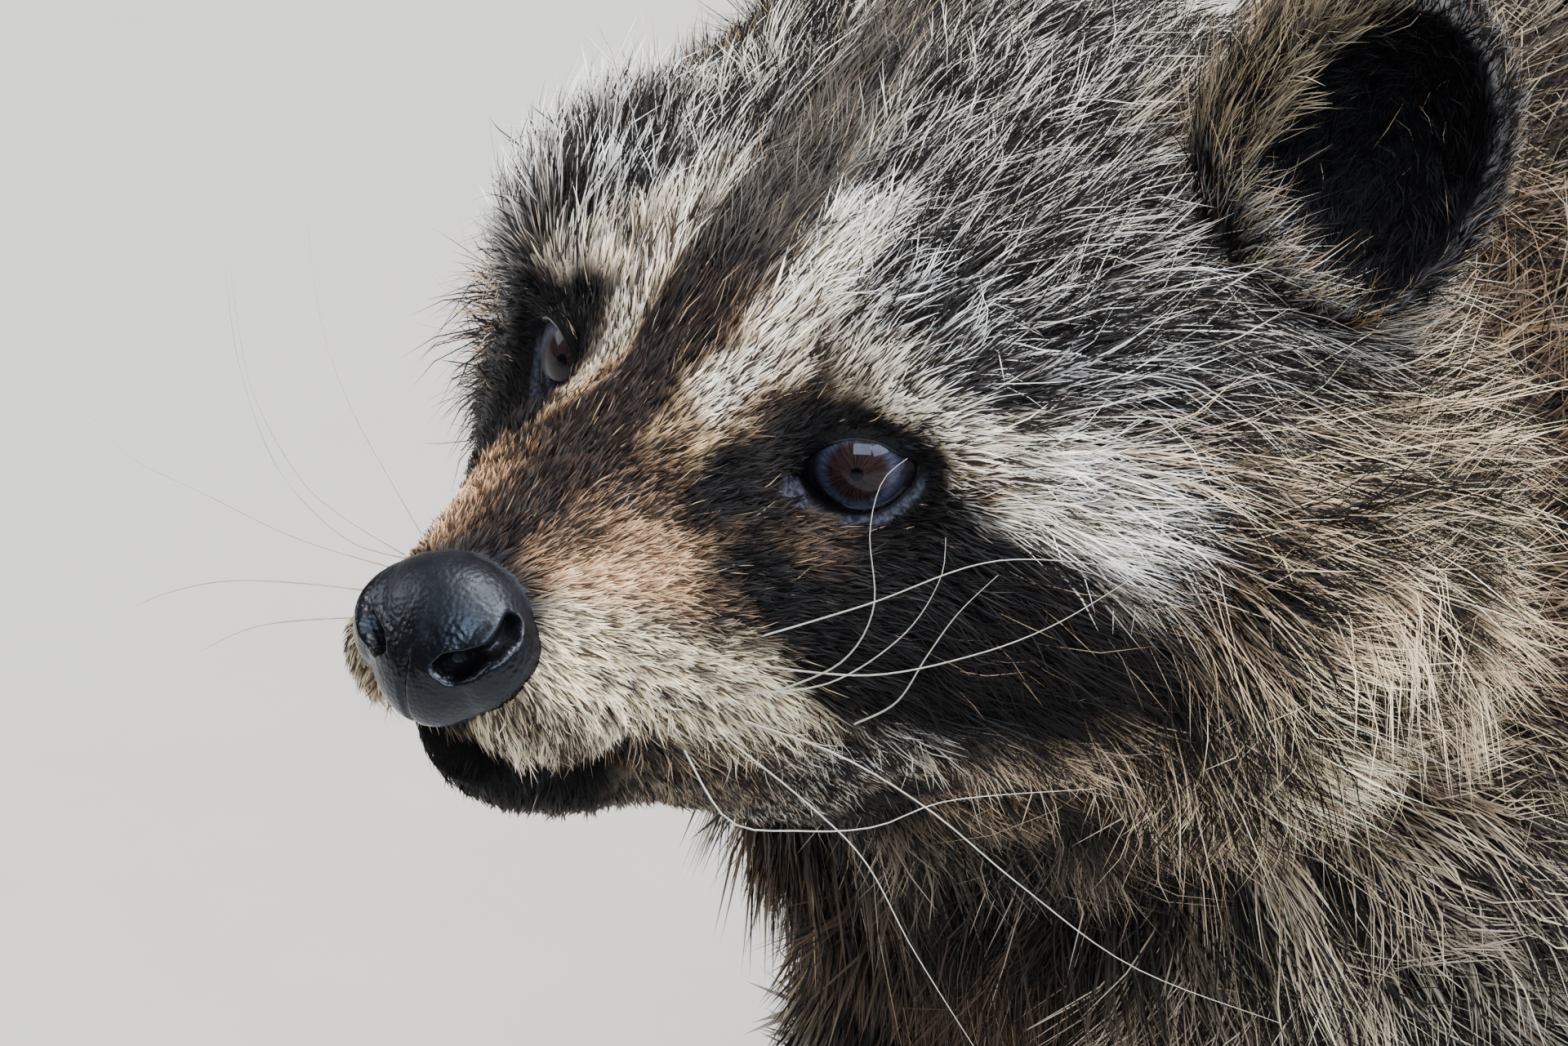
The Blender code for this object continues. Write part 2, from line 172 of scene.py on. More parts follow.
headTurn = np.array(
    Matrix.Rotation(math.radians(headPose["turn"]), 3, "Z")
    @ Matrix.Rotation(math.radians(-headPose["lift"]), 3, "X")
)
midEyes = (boxCentre("eye_L") + boxCentre("eye_R")) / 2
headOrigin = midEyes - headTurn @ np.array(headPose["eyeSpot"])


def toHead(points):
    return (points - headOrigin) @ headTurn


def fromHead(points):
    return np.asarray(points, float) @ headTurn.T + headOrigin


def onLeft(points):
    # points of the head's right half are mirrored onto its left
    side = points.copy()
    side[:, 0] = np.abs(side[:, 0])
    return side


class Value:
    # a socket that adds up like a number

    def __init__(self, shader, socket):
        self.shader = shader
        self.socket = socket

    def maths(self, operation, first, second):
        return self.shader.node("ShaderNodeMath", {"operation": operation}, {0: first, 1: second})

    def __add__(self, other):
        return self.maths("ADD", self, other)

    def __sub__(self, other):
        return self.maths("SUBTRACT", self, other)

    def __mul__(self, other):
        return self.maths("MULTIPLY", self, other)

    def __radd__(self, other):
        return self.maths("ADD", other, self)

    def __rsub__(self, other):
        return self.maths("SUBTRACT", other, self)

    def __rmul__(self, other):
        return self.maths("MULTIPLY", other, self)

    def clear(self, low, high):
        # 0 below low, 1 above high, smooth between
        settings = {"interpolation_type": "SMOOTHSTEP"}
        return self.shader.node("ShaderNodeMapRange", settings, {0: self, 1: low, 2: high})


class Shader:
    def __init__(self, name, **fixed):
        self.material = bpy.data.materials.new(name)
        self.material.use_nodes = True
        self.tree = self.material.node_tree
        self.surface = self.tree.nodes["Principled BSDF"]
        for key, value in fixed.items():
            self.surface.inputs[key.replace("_", " ")].default_value = value

    def node(self, kind, settings=None, sockets=None, output=0):
        made = self.tree.nodes.new(kind)
        for key, value in (settings or {}).items():
            setattr(made, key, value)
        for key, value in (sockets or {}).items():
            self.feed(made.inputs[key], value)
        return Value(self, made.outputs[output])

    def feed(self, socket, value):
        if isinstance(value, Value):
            self.tree.links.new(value.socket, socket)
        elif socket.type == "RGBA":
            socket.default_value = (*value, 1)
        else:
            socket.default_value = value

    def place(self):
        return self.node("ShaderNodeTexCoord", output=3)

    def own(self, name, output=0):
        return self.node("ShaderNodeAttribute", {"attribute_name": name}, output=output)

    def noise(self, where, scale, detail=3.0, roughness=0.55):
        sockets = {"Vector": where, "Scale": scale, "Detail": detail, "Roughness": roughness}
        return self.node("ShaderNodeTexNoise", None, sockets)

    def stretched(self, where, scale, turn=(0, 0, 0)):
        sockets = {"Vector": where, "Scale": scale, "Rotation": turn}
        return self.node("ShaderNodeMapping", None, sockets)

    def blend(self, share, a, b, way="MIX"):
        settings = {"data_type": "RGBA", "blend_type": way}
        return self.node("ShaderNodeMix", settings, {0: share, 6: a, 7: b}, output=2)

    def bump(self, height, strength, distance):
        sockets = {"Height": height, "Strength": strength, "Distance": distance}
        return self.node("ShaderNodeBump", None, sockets)

    def finish(self, **varying):
        for key, value in varying.items():
            self.feed(self.surface.inputs[key.replace("_", " ")], value)
        return self.material


def linear(colour):
    # a colour given as 0 to 255, as light
    share = np.asarray(colour, float) / 255
    return np.where(share <= 0.04045, share / 12.92, ((share + 0.055) / 1.055) ** 2.4)


def tint(colour):
    return tuple(float(x) for x in linear(colour))


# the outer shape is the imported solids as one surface, out to the tips of the coat

skinPlan = {
    "swell": 0.35,  # closes the thin cuts between the solids
    "voxel": 1.5,
    "smoothing": 8,
    "triangles": 170000,
    "fine": (40, 90),  # from here to here, behind the eyes, the mesh gets coarser
    "eyeSink": 2.0,  # how much deeper the skin lies around the eyes, in the mouth and at the pad
    "mouthSink": 1.6,
    "padSink": 9,
}

fleshNames = [n for n in nodes if not n.startswith("claw")]


def mergedCopy(name):
    piece = bmesh.new()
    piece.from_mesh(nodes[name].data)
    bmesh.ops.remove_doubles(piece, verts=piece.verts, dist=1e-6)
    piece.normal_update()
    return piece


def makeOuter():
    whole = bmesh.new()
    holder = bpy.data.meshes.new("holder")
    for name in fleshNames:
        piece = mergedCopy(name)
        for vert in piece.verts:
            vert.co += vert.normal * skinPlan["swell"] * 0.001
        piece.to_mesh(holder)
        whole.from_mesh(holder)
        piece.free()
    mesh = bpy.data.meshes.new("outer")
    whole.to_mesh(mesh)
    whole.free()
    outer = bpy.data.objects.new("outer", mesh)
    bpy.context.scene.collection.objects.link(outer)
    grid = outer.modifiers.new("grid", "REMESH")
    grid.mode = "VOXEL"
    grid.voxel_size = skinPlan["voxel"] * 0.001
    applied(outer)
    smooth = outer.modifiers.new("smooth", "SMOOTH")
    smooth.iterations = skinPlan["smoothing"]
    applied(outer)
    points = numbers(outer.data.vertices, "co", 3) * 1000
    coarse = ease(toHead(points)[:, 1], *skinPlan["fine"])
    group = outer.vertex_groups.new(name="coarse")
    for level in range(1, 11):
        picked = np.nonzero(np.ceil(coarse * 10) == level)[0]
        group.add([int(i) for i in picked], level / 10, "REPLACE")
    thin = outer.modifiers.new("thin", "DECIMATE")
    thin.ratio = skinPlan["triangles"] / (2 * len(outer.data.polygons))
    thin.vertex_group = "coarse"
    thin.vertex_group_factor = 1
    thin.use_collapse_triangulate = True
    applied(outer)
    bpy.context.view_layer.objects.active = outer
    outer.select_set(True)
    bpy.ops.object.mode_set(mode="EDIT")
    bpy.ops.mesh.select_all(action="SELECT")
    bpy.ops.uv.smart_project(angle_limit=math.radians(66), island_margin=0.002)
    bpy.ops.object.mode_set(mode="OBJECT")
    return outer


outer = makeOuter()
outerPoints = numbers(outer.data.vertices, "co", 3).astype(float) * 1000
tris = numbers(outer.data.loops, "vertex_index", 1, np.int32).reshape(-1, 3)
edges = numbers(outer.data.edges, "vertices", 2, np.int32)
cornerMap = numbers(outer.data.uv_layers[0].uv, "vector", 2).reshape(-1, 3, 2)
vertCount = len(outerPoints)
bpy.data.objects.remove(outer)
neighbours = np.bincount(edges.ravel(), minlength=vertCount)[:, None]
say(f"outer shape: {vertCount} points, {len(tris)} faces")


def relaxed(field, rounds):
    field = np.asarray(field, float).reshape(vertCount, -1)
    for _ in range(rounds):
        total = np.zeros_like(field)
        for column in range(field.shape[1]):
            for a, b in ((0, 1), (1, 0)):
                total[:, column] += np.bincount(
                    edges[:, a], weights=field[edges[:, b], column], minlength=vertCount
                )
        field = 0.5 * field + 0.5 * total / neighbours
    return field


def faceNormals(points):
    # as long as twice the face's area
    a, b, c = (points[tris[:, i]] for i in range(3))
    return np.cross(b - a, c - a)


def pointNormals(points):
    across = faceNormals(points)
    total = np.zeros_like(points)
    for corner in range(3):
        for column in range(3):
            total[:, column] += np.bincount(
                tris[:, corner], weights=across[:, column], minlength=vertCount
            )
    return unit(total)


outerNormals = unit(relaxed(pointNormals(outerPoints), 6))
headPoints = toHead(outerPoints)
sidePoints = onLeft(headPoints)

# the part of the body that each point belongs to
kinds = ["head", "neck", "trunk", "tail", "foreleg", "hindleg", "forepaw", "hindpaw", "ear"]


def findShares():
    verts, faces, owners = [], [], []
    for name in fleshNames:
        kind = name.split("_")[0]
        kind = kinds.index(kind) if kind in kinds else 0
        start = len(verts)
        verts += [v.co * 1000 for v in nodes[name].data.vertices]
        for polygon in nodes[name].data.polygons:
            faces.append([start + i for i in polygon.vertices])
            owners.append(kind)
    tree = BVHTree.FromPolygons(verts, faces)
    shares = np.zeros((vertCount, len(kinds)))
    for i, point in enumerate(outerPoints):
        shares[i, owners[tree.find_nearest(point)[2]]] = 1
    soft = relaxed(shares, 40)
    crisp = relaxed(shares, 5)
    soft[:, kinds.index("ear")] = crisp[:, kinds.index("ear")]
    return soft / soft.sum(1, keepdims=True)


shares = findShares()


def share(*names):
    return shares[:, [kinds.index(n) for n in names]].sum(1)


say("parts of the body found")

earPlan = {
    "centre": (51, 57, 41.5),
    "turns": (38, 22, -8),  # about z, y and x
    "room": ((0, -7.5, 0), (15.2, 14.5, 20.8)),
}


def earTurn():
    z, y, x = (math.radians(a) for a in earPlan["turns"])
    turn = Matrix.Rotation(z, 3, "Z") @ Matrix.Rotation(y, 3, "Y") @ Matrix.Rotation(x, 3, "X")
    return np.array(turn)


def inEar(side):
    # a point of the left side, or of the mirrored right one, in its ear's own frame
    return (side - np.array(earPlan["centre"])) @ earTurn()


def near(points, path, soft):
    # 1 inside the path's width, 0 outside, soft at the edge
    path = np.asarray(path, float)
    best = np.full(len(points), -1e9)
    for a, b in zip(path[:-1], path[1:]):
        line = b[:3] - a[:3]
        t = np.clip((points - a[:3]) @ line / (line @ line), 0, 1)
        away = np.linalg.norm(points - a[:3] - t[:, None] * line, axis=1)
        best = np.maximum(best, mixed(a[3], b[3], t) - away)
    return ease(best, -soft, soft)


fluffPlan = {
    "place": (-37, 14, 17),  # the far brow stands out more than the near one
    "reach": (6, 25),
    "push": 8.0,
    "jawLift": 4.0,
    "dent": ((-11.5, -8.5, 3.0), (3, 12), 2.7),  # beside the far eye's inner corner
    "earShift": (5, 6, -1),  # the far ear is turned back
    "earBack": 34,  # degrees
    "hinge": -21,
    "notch": [(0, 27, -48, 10), (28, 27, -48, 10)],  # where the jaw meets the throat
}
earPlace = inEar(sidePoints)  # each point in the frame of its ear, before the far one is turned
farEar = 1 - ease(np.linalg.norm(earPlace / (26, 22, 32), axis=1), 0.8, 1.25)
farEar *= headPoints[:, 0] < 0


def reshape():
    x, y, z = headPoints.T
    raised = headPoints.copy()
    under = ease(-z, 41, 48) * ease(y, -26, -4) * (1 - ease(y, 34, 60)) * share("head")
    raised[:, 2] += fluffPlan["jawLift"] * under
    away = np.linalg.norm(headPoints - np.array(fluffPlan["place"]), axis=1)
    swell = fluffPlan["push"] * (1 - ease(away, *fluffPlan["reach"])) * share("head")
    place, reach, depth = fluffPlan["dent"]
    away = np.linalg.norm(headPoints - np.array(place), axis=1)
    swell -= depth * (1 - ease(away, *reach)) * share("head")
    bend = math.radians(fluffPlan["earBack"]) * ease(earPlace[:, 2], -28, -8)
    rise = earPlace[:, 2] - fluffPlan["hinge"]
    turned = np.stack([
        earPlace[:, 0],
        earPlace[:, 1] * np.cos(bend) + rise * np.sin(bend),
        rise * np.cos(bend) - earPlace[:, 1] * np.sin(bend) + fluffPlan["hinge"],
    ], 1)
    moved = (turned @ earTurn().T + np.array(earPlan["centre"])) * (-1, 1, 1)
    raised = mixed(raised, moved + fluffPlan["earShift"], farEar[:, None])
    points = fromHead(raised) + outerNormals * swell[:, None]
    notch = near(sidePoints, fluffPlan["notch"], 7)[:, None]
    return mixed(points, relaxed(points, 90), notch)


outerPoints = reshape()
outerNormals = unit(relaxed(pointNormals(outerPoints), 6))
headPoints = toHead(outerPoints)
sidePoints = onLeft(headPoints)

coatPlan = {
    # length of the hairs, and the depth at which the skin lies under their tips
    "neck": (25, 8),
    "trunk": (30, 10.5),
    "tail": (24, 8),
    "foreleg": (12, 3.6),
    "hindleg": (16, 4.6),
    "forepaw": (3.6, 0.9),
    "hindpaw": (3.6, 0.9),
    "ear": (4.2, 0.7),
    "noseTip": (0, -46, -20),
    "face": (2.8, 23.0, 30, 126),  # shortest, longest, and how far from the nose
    "headDepth": 0.27,  # of the length
    "lowCheek": [(28, -6, -35, 7), (39, 12, -40, 8), (44, 32, -46, 8)],  # short and sleek
}
tailPath = [  # in the frame of the head's origin, before the whole was centred
    (0, 225, 205), (0, 262, 188), (3, 310, 152), (9, 365, 120),
    (17, 425, 102), (24, 474, 98), (29, 504, 99),
]
wholeShift = headOrigin - np.array((10, -240, 258))
tailLine = np.array(tailPath, float) + wholeShift
eyeSpot = np.array((20.2, 7.2, -0.7))


def aroundEye(offset):
    return np.linalg.norm(sidePoints - eyeSpot - offset, axis=1)


def alongLine(points, line):
    # length along a line of points, its total, and the line's direction there
    steps = np.linalg.norm(np.diff(line, axis=0), axis=1)
    reach = np.concatenate([[0], np.cumsum(steps)])
    best = np.full(len(points), 1e9)
    place = np.zeros(len(points))
    way = np.zeros((len(points), 3))
    for i, step in enumerate(steps):
        ahead = (line[i + 1] - line[i]) / step
        t = np.clip((points - line[i]) @ ahead, 0, step)
        away = np.linalg.norm(points - line[i] - t[:, None] * ahead, axis=1)
        closer = away < best
        best[closer] = away[closer]
        place[closer] = (reach[i] + t)[closer]
        way[closer] = ahead
    return place, reach[-1], way


def makeLengths():
    x, y, z = sidePoints.T
    shortest, longest, start, end = coatPlan["face"]
    reach = np.linalg.norm(sidePoints - np.array(coatPlan["noseTip"]), axis=1)
    head = mixed(shortest, longest, ease(reach, start, end))
    head *= 1 - 0.38 * ease(z, 6, 34) * ease(y, -10, 30)
    jaw = mixed(3.4, 24, ease(y, 30, 75))
    head = np.where(z < -37, np.minimum(head, jaw), head)
    lip = ease(-z, 29, 34) * ease(12 - y, 0, 10)
    head = np.maximum(head, mixed(4.4, 7.5, ease(y, -40, -14)) * lip * (z > -40))
    head = np.minimum(head, mixed(1.7, 23, ease(aroundEye((3, -5, 0)), 8, 34)))
    bridge = near(sidePoints, [(6, -20, -3, 6), (9, -8, 6, 6)], 4)
    head = mixed(head, np.minimum(head, 2.6), bridge)
    lowCheek = near(sidePoints, coatPlan["lowCheek"], 6)
    head = mixed(head, np.minimum(head, 8), lowCheek)
    farMask = ease(-headPoints[:, 0], 16, 28) * ease(8 - z, 0, 8) * (1 - ease(y, 20, 40))
    head = mixed(head, 0.6 * head, farMask)
    dent = 1 - ease(np.linalg.norm(headPoints - np.array(fluffPlan["dent"][0]), axis=1), 5, 11)
    head = mixed(head, np.minimum(head, 1.7), dent)
    depth = head * coatPlan["headDepth"] + 0.25
    lengths = head * share("head")
    depths = depth * share("head")
    for kind in kinds[1:]:
        length, deep = coatPlan[kind]
        lengths = lengths + length * share(kind)
        depths = depths + deep * share(kind)
    return relaxed(lengths, 6)[:, 0], relaxed(depths, 8)[:, 0]


def makeFlow():
    x, y, z = sidePoints.T
    flow = np.zeros((vertCount, 3))
    # on the head away from the nose and the eyes, and down over the cheeks
    away = unit(headPoints - np.array(coatPlan["noseTip"])) + (0, 0.25, 0)
    cheek = ease(x, 20, 46)
    away[:, 1] += 0.5 * cheek
    sleek = near(sidePoints, coatPlan["lowCheek"], 7)
    away[:, 2] -= 0.78 * cheek * (1 - 0.75 * sleek)
    away[:, 2] -= 1.3 * ease(-z, 26, 34) * (1 - ease(y, -5, 25))
    for sign in (1, -1):
        offset = headPoints - eyeSpot * (sign, 1, 1)
        far = np.linalg.norm(offset, axis=1, keepdims=True)
        away = away + 0.9 * (1 - ease(far, 9, 20)) * unit(offset)
    flow += (unit(away) @ headTurn.T) * share("head")[:, None]
    back = math.radians(fluffPlan["earBack"]) * (headPoints[:, :1] < 0)
    rise = np.cos(back) * earTurn()[:, 2] + np.sin(back) * earTurn()[:, 1]
    rise = rise * np.where(headPoints[:, :1] > 0, (1, 1, 1), (-1, 1, 1))
    flow += (rise @ headTurn.T) * share("ear")[:, None]
    # on the body backwards and down
    across = 1 - np.abs(outerNormals[:, 2])
    down = np.stack([0 * across, 1 + 0 * across, -0.3 * across], 1)
    flow += unit(down) * share("trunk")[:, None]
    chest = ease(-outerNormals[:, 1], 0.2, 0.7)
    nape = np.stack([0 * chest, 1 - 0.9 * chest, -0.35 * across - 0.8 * chest], 1)
    flow += unit(nape) * share("neck")[:, None]
    flow += unit(np.array((0, 0.3, -1.0))) * share("foreleg")[:, None]
    flow += unit(np.array((0, 0.5, -1.0))) * share("hindleg")[:, None]
    flow += unit(np.array((0, -1.0, -0.25))) * share("forepaw", "hindpaw")[:, None]
    flow += alongLine(outerPoints, tailLine)[2] * share("tail")[:, None]
    flow = relaxed(flow, 20)
    swirl = np.stack([waves(outerPoints, 24, 3 + i) for i in range(3)], 1)
    small = np.stack([waves(outerPoints, 9, 13 + i) for i in range(3)], 1)
    flow = unit(flow) + 0.13 * swirl + 0.07 * small
    return unit(flow - dots(flow, outerNormals) * outerNormals)


lengths, depths = makeLengths()
flow = makeFlow()
say("coat lengths and lie")

nosePlan = {
    "centre": (0, -44.5, -25),
    "lobes": [  # place and radii
        ((0, 0, 0.2), (11.6, 8.0, 10.2)),
        ((0, -2.5, -2.6), (8.2, 6.2, 8.2)),
        ((0, 5.6, 3.4), (10.3, 7.4, 7.0)),
        ((7.8, -0.5, -0.5), (5.0, 6.0, 6.6)),
        ((-7.8, -0.5, -0.5), (5.0, 6.0, 6.6)),
    ],
    "nostril": [  # place in the head's frame and half width
        (3.4, -51.4, -26.8, 0.9), (5.4, -51.2, -26.3, 1.6), (7.6, -50.6, -25.3, 1.4),
        (9.4, -49.0, -23.4, 1.25), (10.2, -47.6, -21.2, 1.15), (9.8, -46.6, -19.6, 0.8),
    ],
    "depth": 3.9,  # of the nostrils
    "lip": (1.1, 0.22),  # around them: its width and height
    "cleft": (0.45, 0.5),  # under the tip: its half width and depth
    "rings": 150,
    "spokes": 168,
}


def noseReach(points):
    # under 1 inside the pad
    best = np.full(len(points), 9.0)
    for place, radii in nosePlan["lobes"]:
        offset = (points - np.array(nosePlan["centre"]) - np.array(place)) / np.array(radii)
        best = np.minimum(best, np.linalg.norm(offset, axis=1))
    return best


hairTints = {
    # root, middle, tip, share of dark hairs, share of pale hairs
    "mask": ((6, 5, 5), (10, 8, 8), (22, 17, 15), 0, 0.009),
    "stripe": ((7, 6, 7), (15, 12, 12), (40, 30, 25), 0, 0.02),
    "bridge": ((13, 11, 10), (34, 25, 21), (132, 100, 74), 0.5, 0.02),
    "fawn": ((72, 52, 38), (176, 134, 98), (244, 206, 162), 0.12, 0.03),
    "cream": ((66, 53, 40), (216, 194, 154), (255, 243, 214), 0.2, 0),
    "strip": ((48, 36, 27), (132, 106, 78), (214, 190, 152), 0.3, 0),
    "spot": ((14, 13, 13), (42, 39, 38), (96, 88, 82), 0.35, 0.05),
    "noseFuzz": ((12, 12, 14), (34, 33, 37), (78, 72, 72), 0.3, 0.02),
    "white": ((40, 32, 26), (220, 204, 176), (255, 254, 248), 0.32, 0),
    "warm": ((42, 30, 22), (168, 130, 90), (246, 220, 176), 0.3, 0),
    "crown": ((13, 9, 8), (40, 30, 25), (244, 233, 216), 0.74, 0),
    "brow": ((14, 11, 10), (84, 74, 66), (255, 254, 250), 0.6, 0),
    "farWhite": ((40, 36, 34), (170, 162, 154), (255, 255, 252), 0.22, 0),
    "cheek": ((15, 11, 8), (80, 54, 36), (242, 210, 170), 0.62, 0),
    "ruff": ((14, 9, 6), (88, 61, 41), (244, 216, 176), 0.64, 0),
    "rufous": ((22, 15, 11), (78, 53, 33), (160, 122, 82), 0.35, 0.02),
    # near-black hair under the jaw and down the throat: painted shade under the chin and cheeks
    "throat": ((5, 4, 4), (11, 9, 8), (27, 22, 19), 0.2, 0.01),
    "chest": ((11, 8, 6), (33, 24, 18), (80, 62, 46), 0.45, 0.01),
    "nape": ((16, 11, 8), (54, 38, 26), (132, 102, 70), 0.45, 0.01),
    "back": ((22, 18, 16), (62, 52, 42), (200, 188, 164), 0.5, 0),
    "belly": ((50, 42, 34), (112, 97, 78), (178, 164, 138), 0.15, 0),
    "leg": ((17, 14, 12), (40, 33, 28), (90, 78, 65), 0.25, 0.02),
    "foot": ((66, 57, 48), (128, 116, 99), (184, 173, 154), 0.18, 0.05),
    "earBack": ((13, 11, 10), (44, 37, 31), (150, 136, 116), 0.42, 0),
    "earCup": ((3, 3, 4), (7, 6, 7), (18, 16, 16), 0, 0.006),
    "earRim": ((5, 4, 5), (16, 14, 15), (128, 124, 122), 0.5, 0.12),
    "earFringe": ((9, 7, 6), (44, 36, 28), (138, 122, 96), 0.5, 0),
    "earTuft": ((16, 12, 8), (76, 59, 38), (170, 144, 102), 0.35, 0),
    "tailPale": ((46, 38, 29), (122, 106, 82), (196, 181, 152), 0.25, 0),
    "tailDark": ((8, 7, 6), (18, 15, 14), (40, 34, 31), 0, 0.02),
    "chin": ((17, 14, 12), (54, 45, 37), (140, 122, 98), 0.42, 0.02),
    "lip": ((3, 3, 3), (5, 5, 5), (13, 11, 10), 0, 0.02),
}


def tintRow(name):
    root, middle, tip, dark, pale = hairTints[name]
    return np.concatenate([linear(root), linear(middle), linear(tip), [dark, pale]])


tintRows = {name: tintRow(name) for name in hairTints}

# places in the head's frame, the same on both sides, each with its half width
marks = {
    "band": [(11, -12, 3.5, 3), (12, -2, 13, 4.2), (12, 5, 20, 4.3), (11.5, 12, 25.5, 3.2)],
    "bandFoot": [(10.5, -16, -0.5, 3.5), (11, -10, 5, 4)],
    "brow": [(20, 3, 14.5, 2.6), (27, 3, 10, 3.8), (33, 7, 6.8, 3.4), (39, 14, 4, 4), (46, 22, 0, 5.6)],
    "browHaze": [(18, 8, 21, 6), (30, 12, 15, 8), (42, 22, 9, 9), (54, 36, 2, 10)],
    "farFluff": [(-37, 2, 12, 5), (-41, 9, 14, 9), (-44, 18, 15, 12), (-40, 34, 22, 11)],
    "patch": [(42, 17, -2, 4.5), (50, 29, -6, 6)],
    "maskEye": [(15, -17, -6, 5), (19, -9, -3, 8), (21.5, -1, 0, 8.8), (30, 2, -6, 9)],
    "maskPeak": [(19, -4, 4, 6), (17.5, -1, 12, 1.6)],
    "maskCheek": [(30, 2, -12, 9), (40, 11, -14.5, 9.2), (47, 22, -18, 9), (54, 36, -23, 7)],
    "maskLower": [(19, -15, -13, 5), (24, -7, -18, 8.2), (31, 1, -22.5, 9.6), (39, 10, -26, 9.4),
                  (48, 24, -28.5, 8.4)],
    "muzzle": [(9, -41, -31, 7), (14, -38, -25, 8), (18, -29, -28, 9), (23, -16, -32, 8),
               (27, -7, -35, 5.5)],
    "strip": [(27, -7, -36, 5.5), (35, 8, -39, 3.4), (45, 26, -40, 2.6)],
    "muzzleTop": [(11, -36, -15, 4), (14, -30, -14, 6), (16, -23, -13.5, 4.5)],
    "whiskers": [(13, -38, -27, 6), (18, -30, -29, 9), (23, -18, -32, 7)],
    # where the hair under the jaw and down the throat is painted near black, as painted shade
    "throat": [(0, 38, -54, 13), (20, 24, -52, 9), (33, 26, -49, 8), (42, 40, -52, 10),
               (41, 54, -58, 13)],
    "throatLow": [(0, 50, -63, 16), (24, 56, -63, 13), (32, 62, -66, 13)],
    "ruff": [(62, 54, -12, 13), (60, 60, -30, 15), (56, 68, -50, 14)],
    "earFront": [(33, 48, 42, 8), (40, 46, 33, 5)],
    "bridge": [(0, -38, -11, 9), (0, -26, -5, 11), (0, -14, 4, 8)],
    "stripe": [(0, -41, -13, 4), (-0.5, -20, -1.5, 6), (-1.5, -8, 8, 6.6), (-1.5, 0, 15.5, 6.6),
               (-1.5, 8, 22.5, 7), (-3, 17, 29.5, 7.5), (-5, 27, 36, 7.5), (-7, 40, 42, 6)],
}
faceLayers = [
    # mark, colour, softness, strength, and the points that it is measured from, in painting order
    ("bridge", "bridge", 4, 1, "side"),
    ("bandFoot", "warm", 3, 0.8, "banded"),
    ("muzzleTop", "fawn", 6, 1, "side"),
    ("strip", "strip", 3, 1, "side"),
    ("muzzle", "cream", 3.4, 1, "side"),
    ("brow", "warm", 3, 0.9, "browEdge"),
    ("brow", "white", 3.6, 0.95, "browed"),
    ("patch", "white", 3.4, 0.9, "browed"),
    ("maskEye", "mask", 2.2, 1, "browed"),
    ("maskCheek", "mask", 2.2, 1, "browed"),
    ("maskLower", "mask", 2.2, 1, "browed"),
    ("band", "warm", 2.2, 1, "banded"),
    ("band", "white", 1.6, 0.85, "bandMiddle"),
    ("maskPeak", "mask", 2.2, 0.9, "browed"),
    ("stripe", "stripe", 2.0, 0.92, "whole"),
]
markShift = {"band": 1.5, "farBrow": 3.2}  # the bands sit off the middle, the far brow higher
tailMarks = {"first": 40, "spacing": 36, "tip": (42, 34)}  # rings, and the tip's soft start


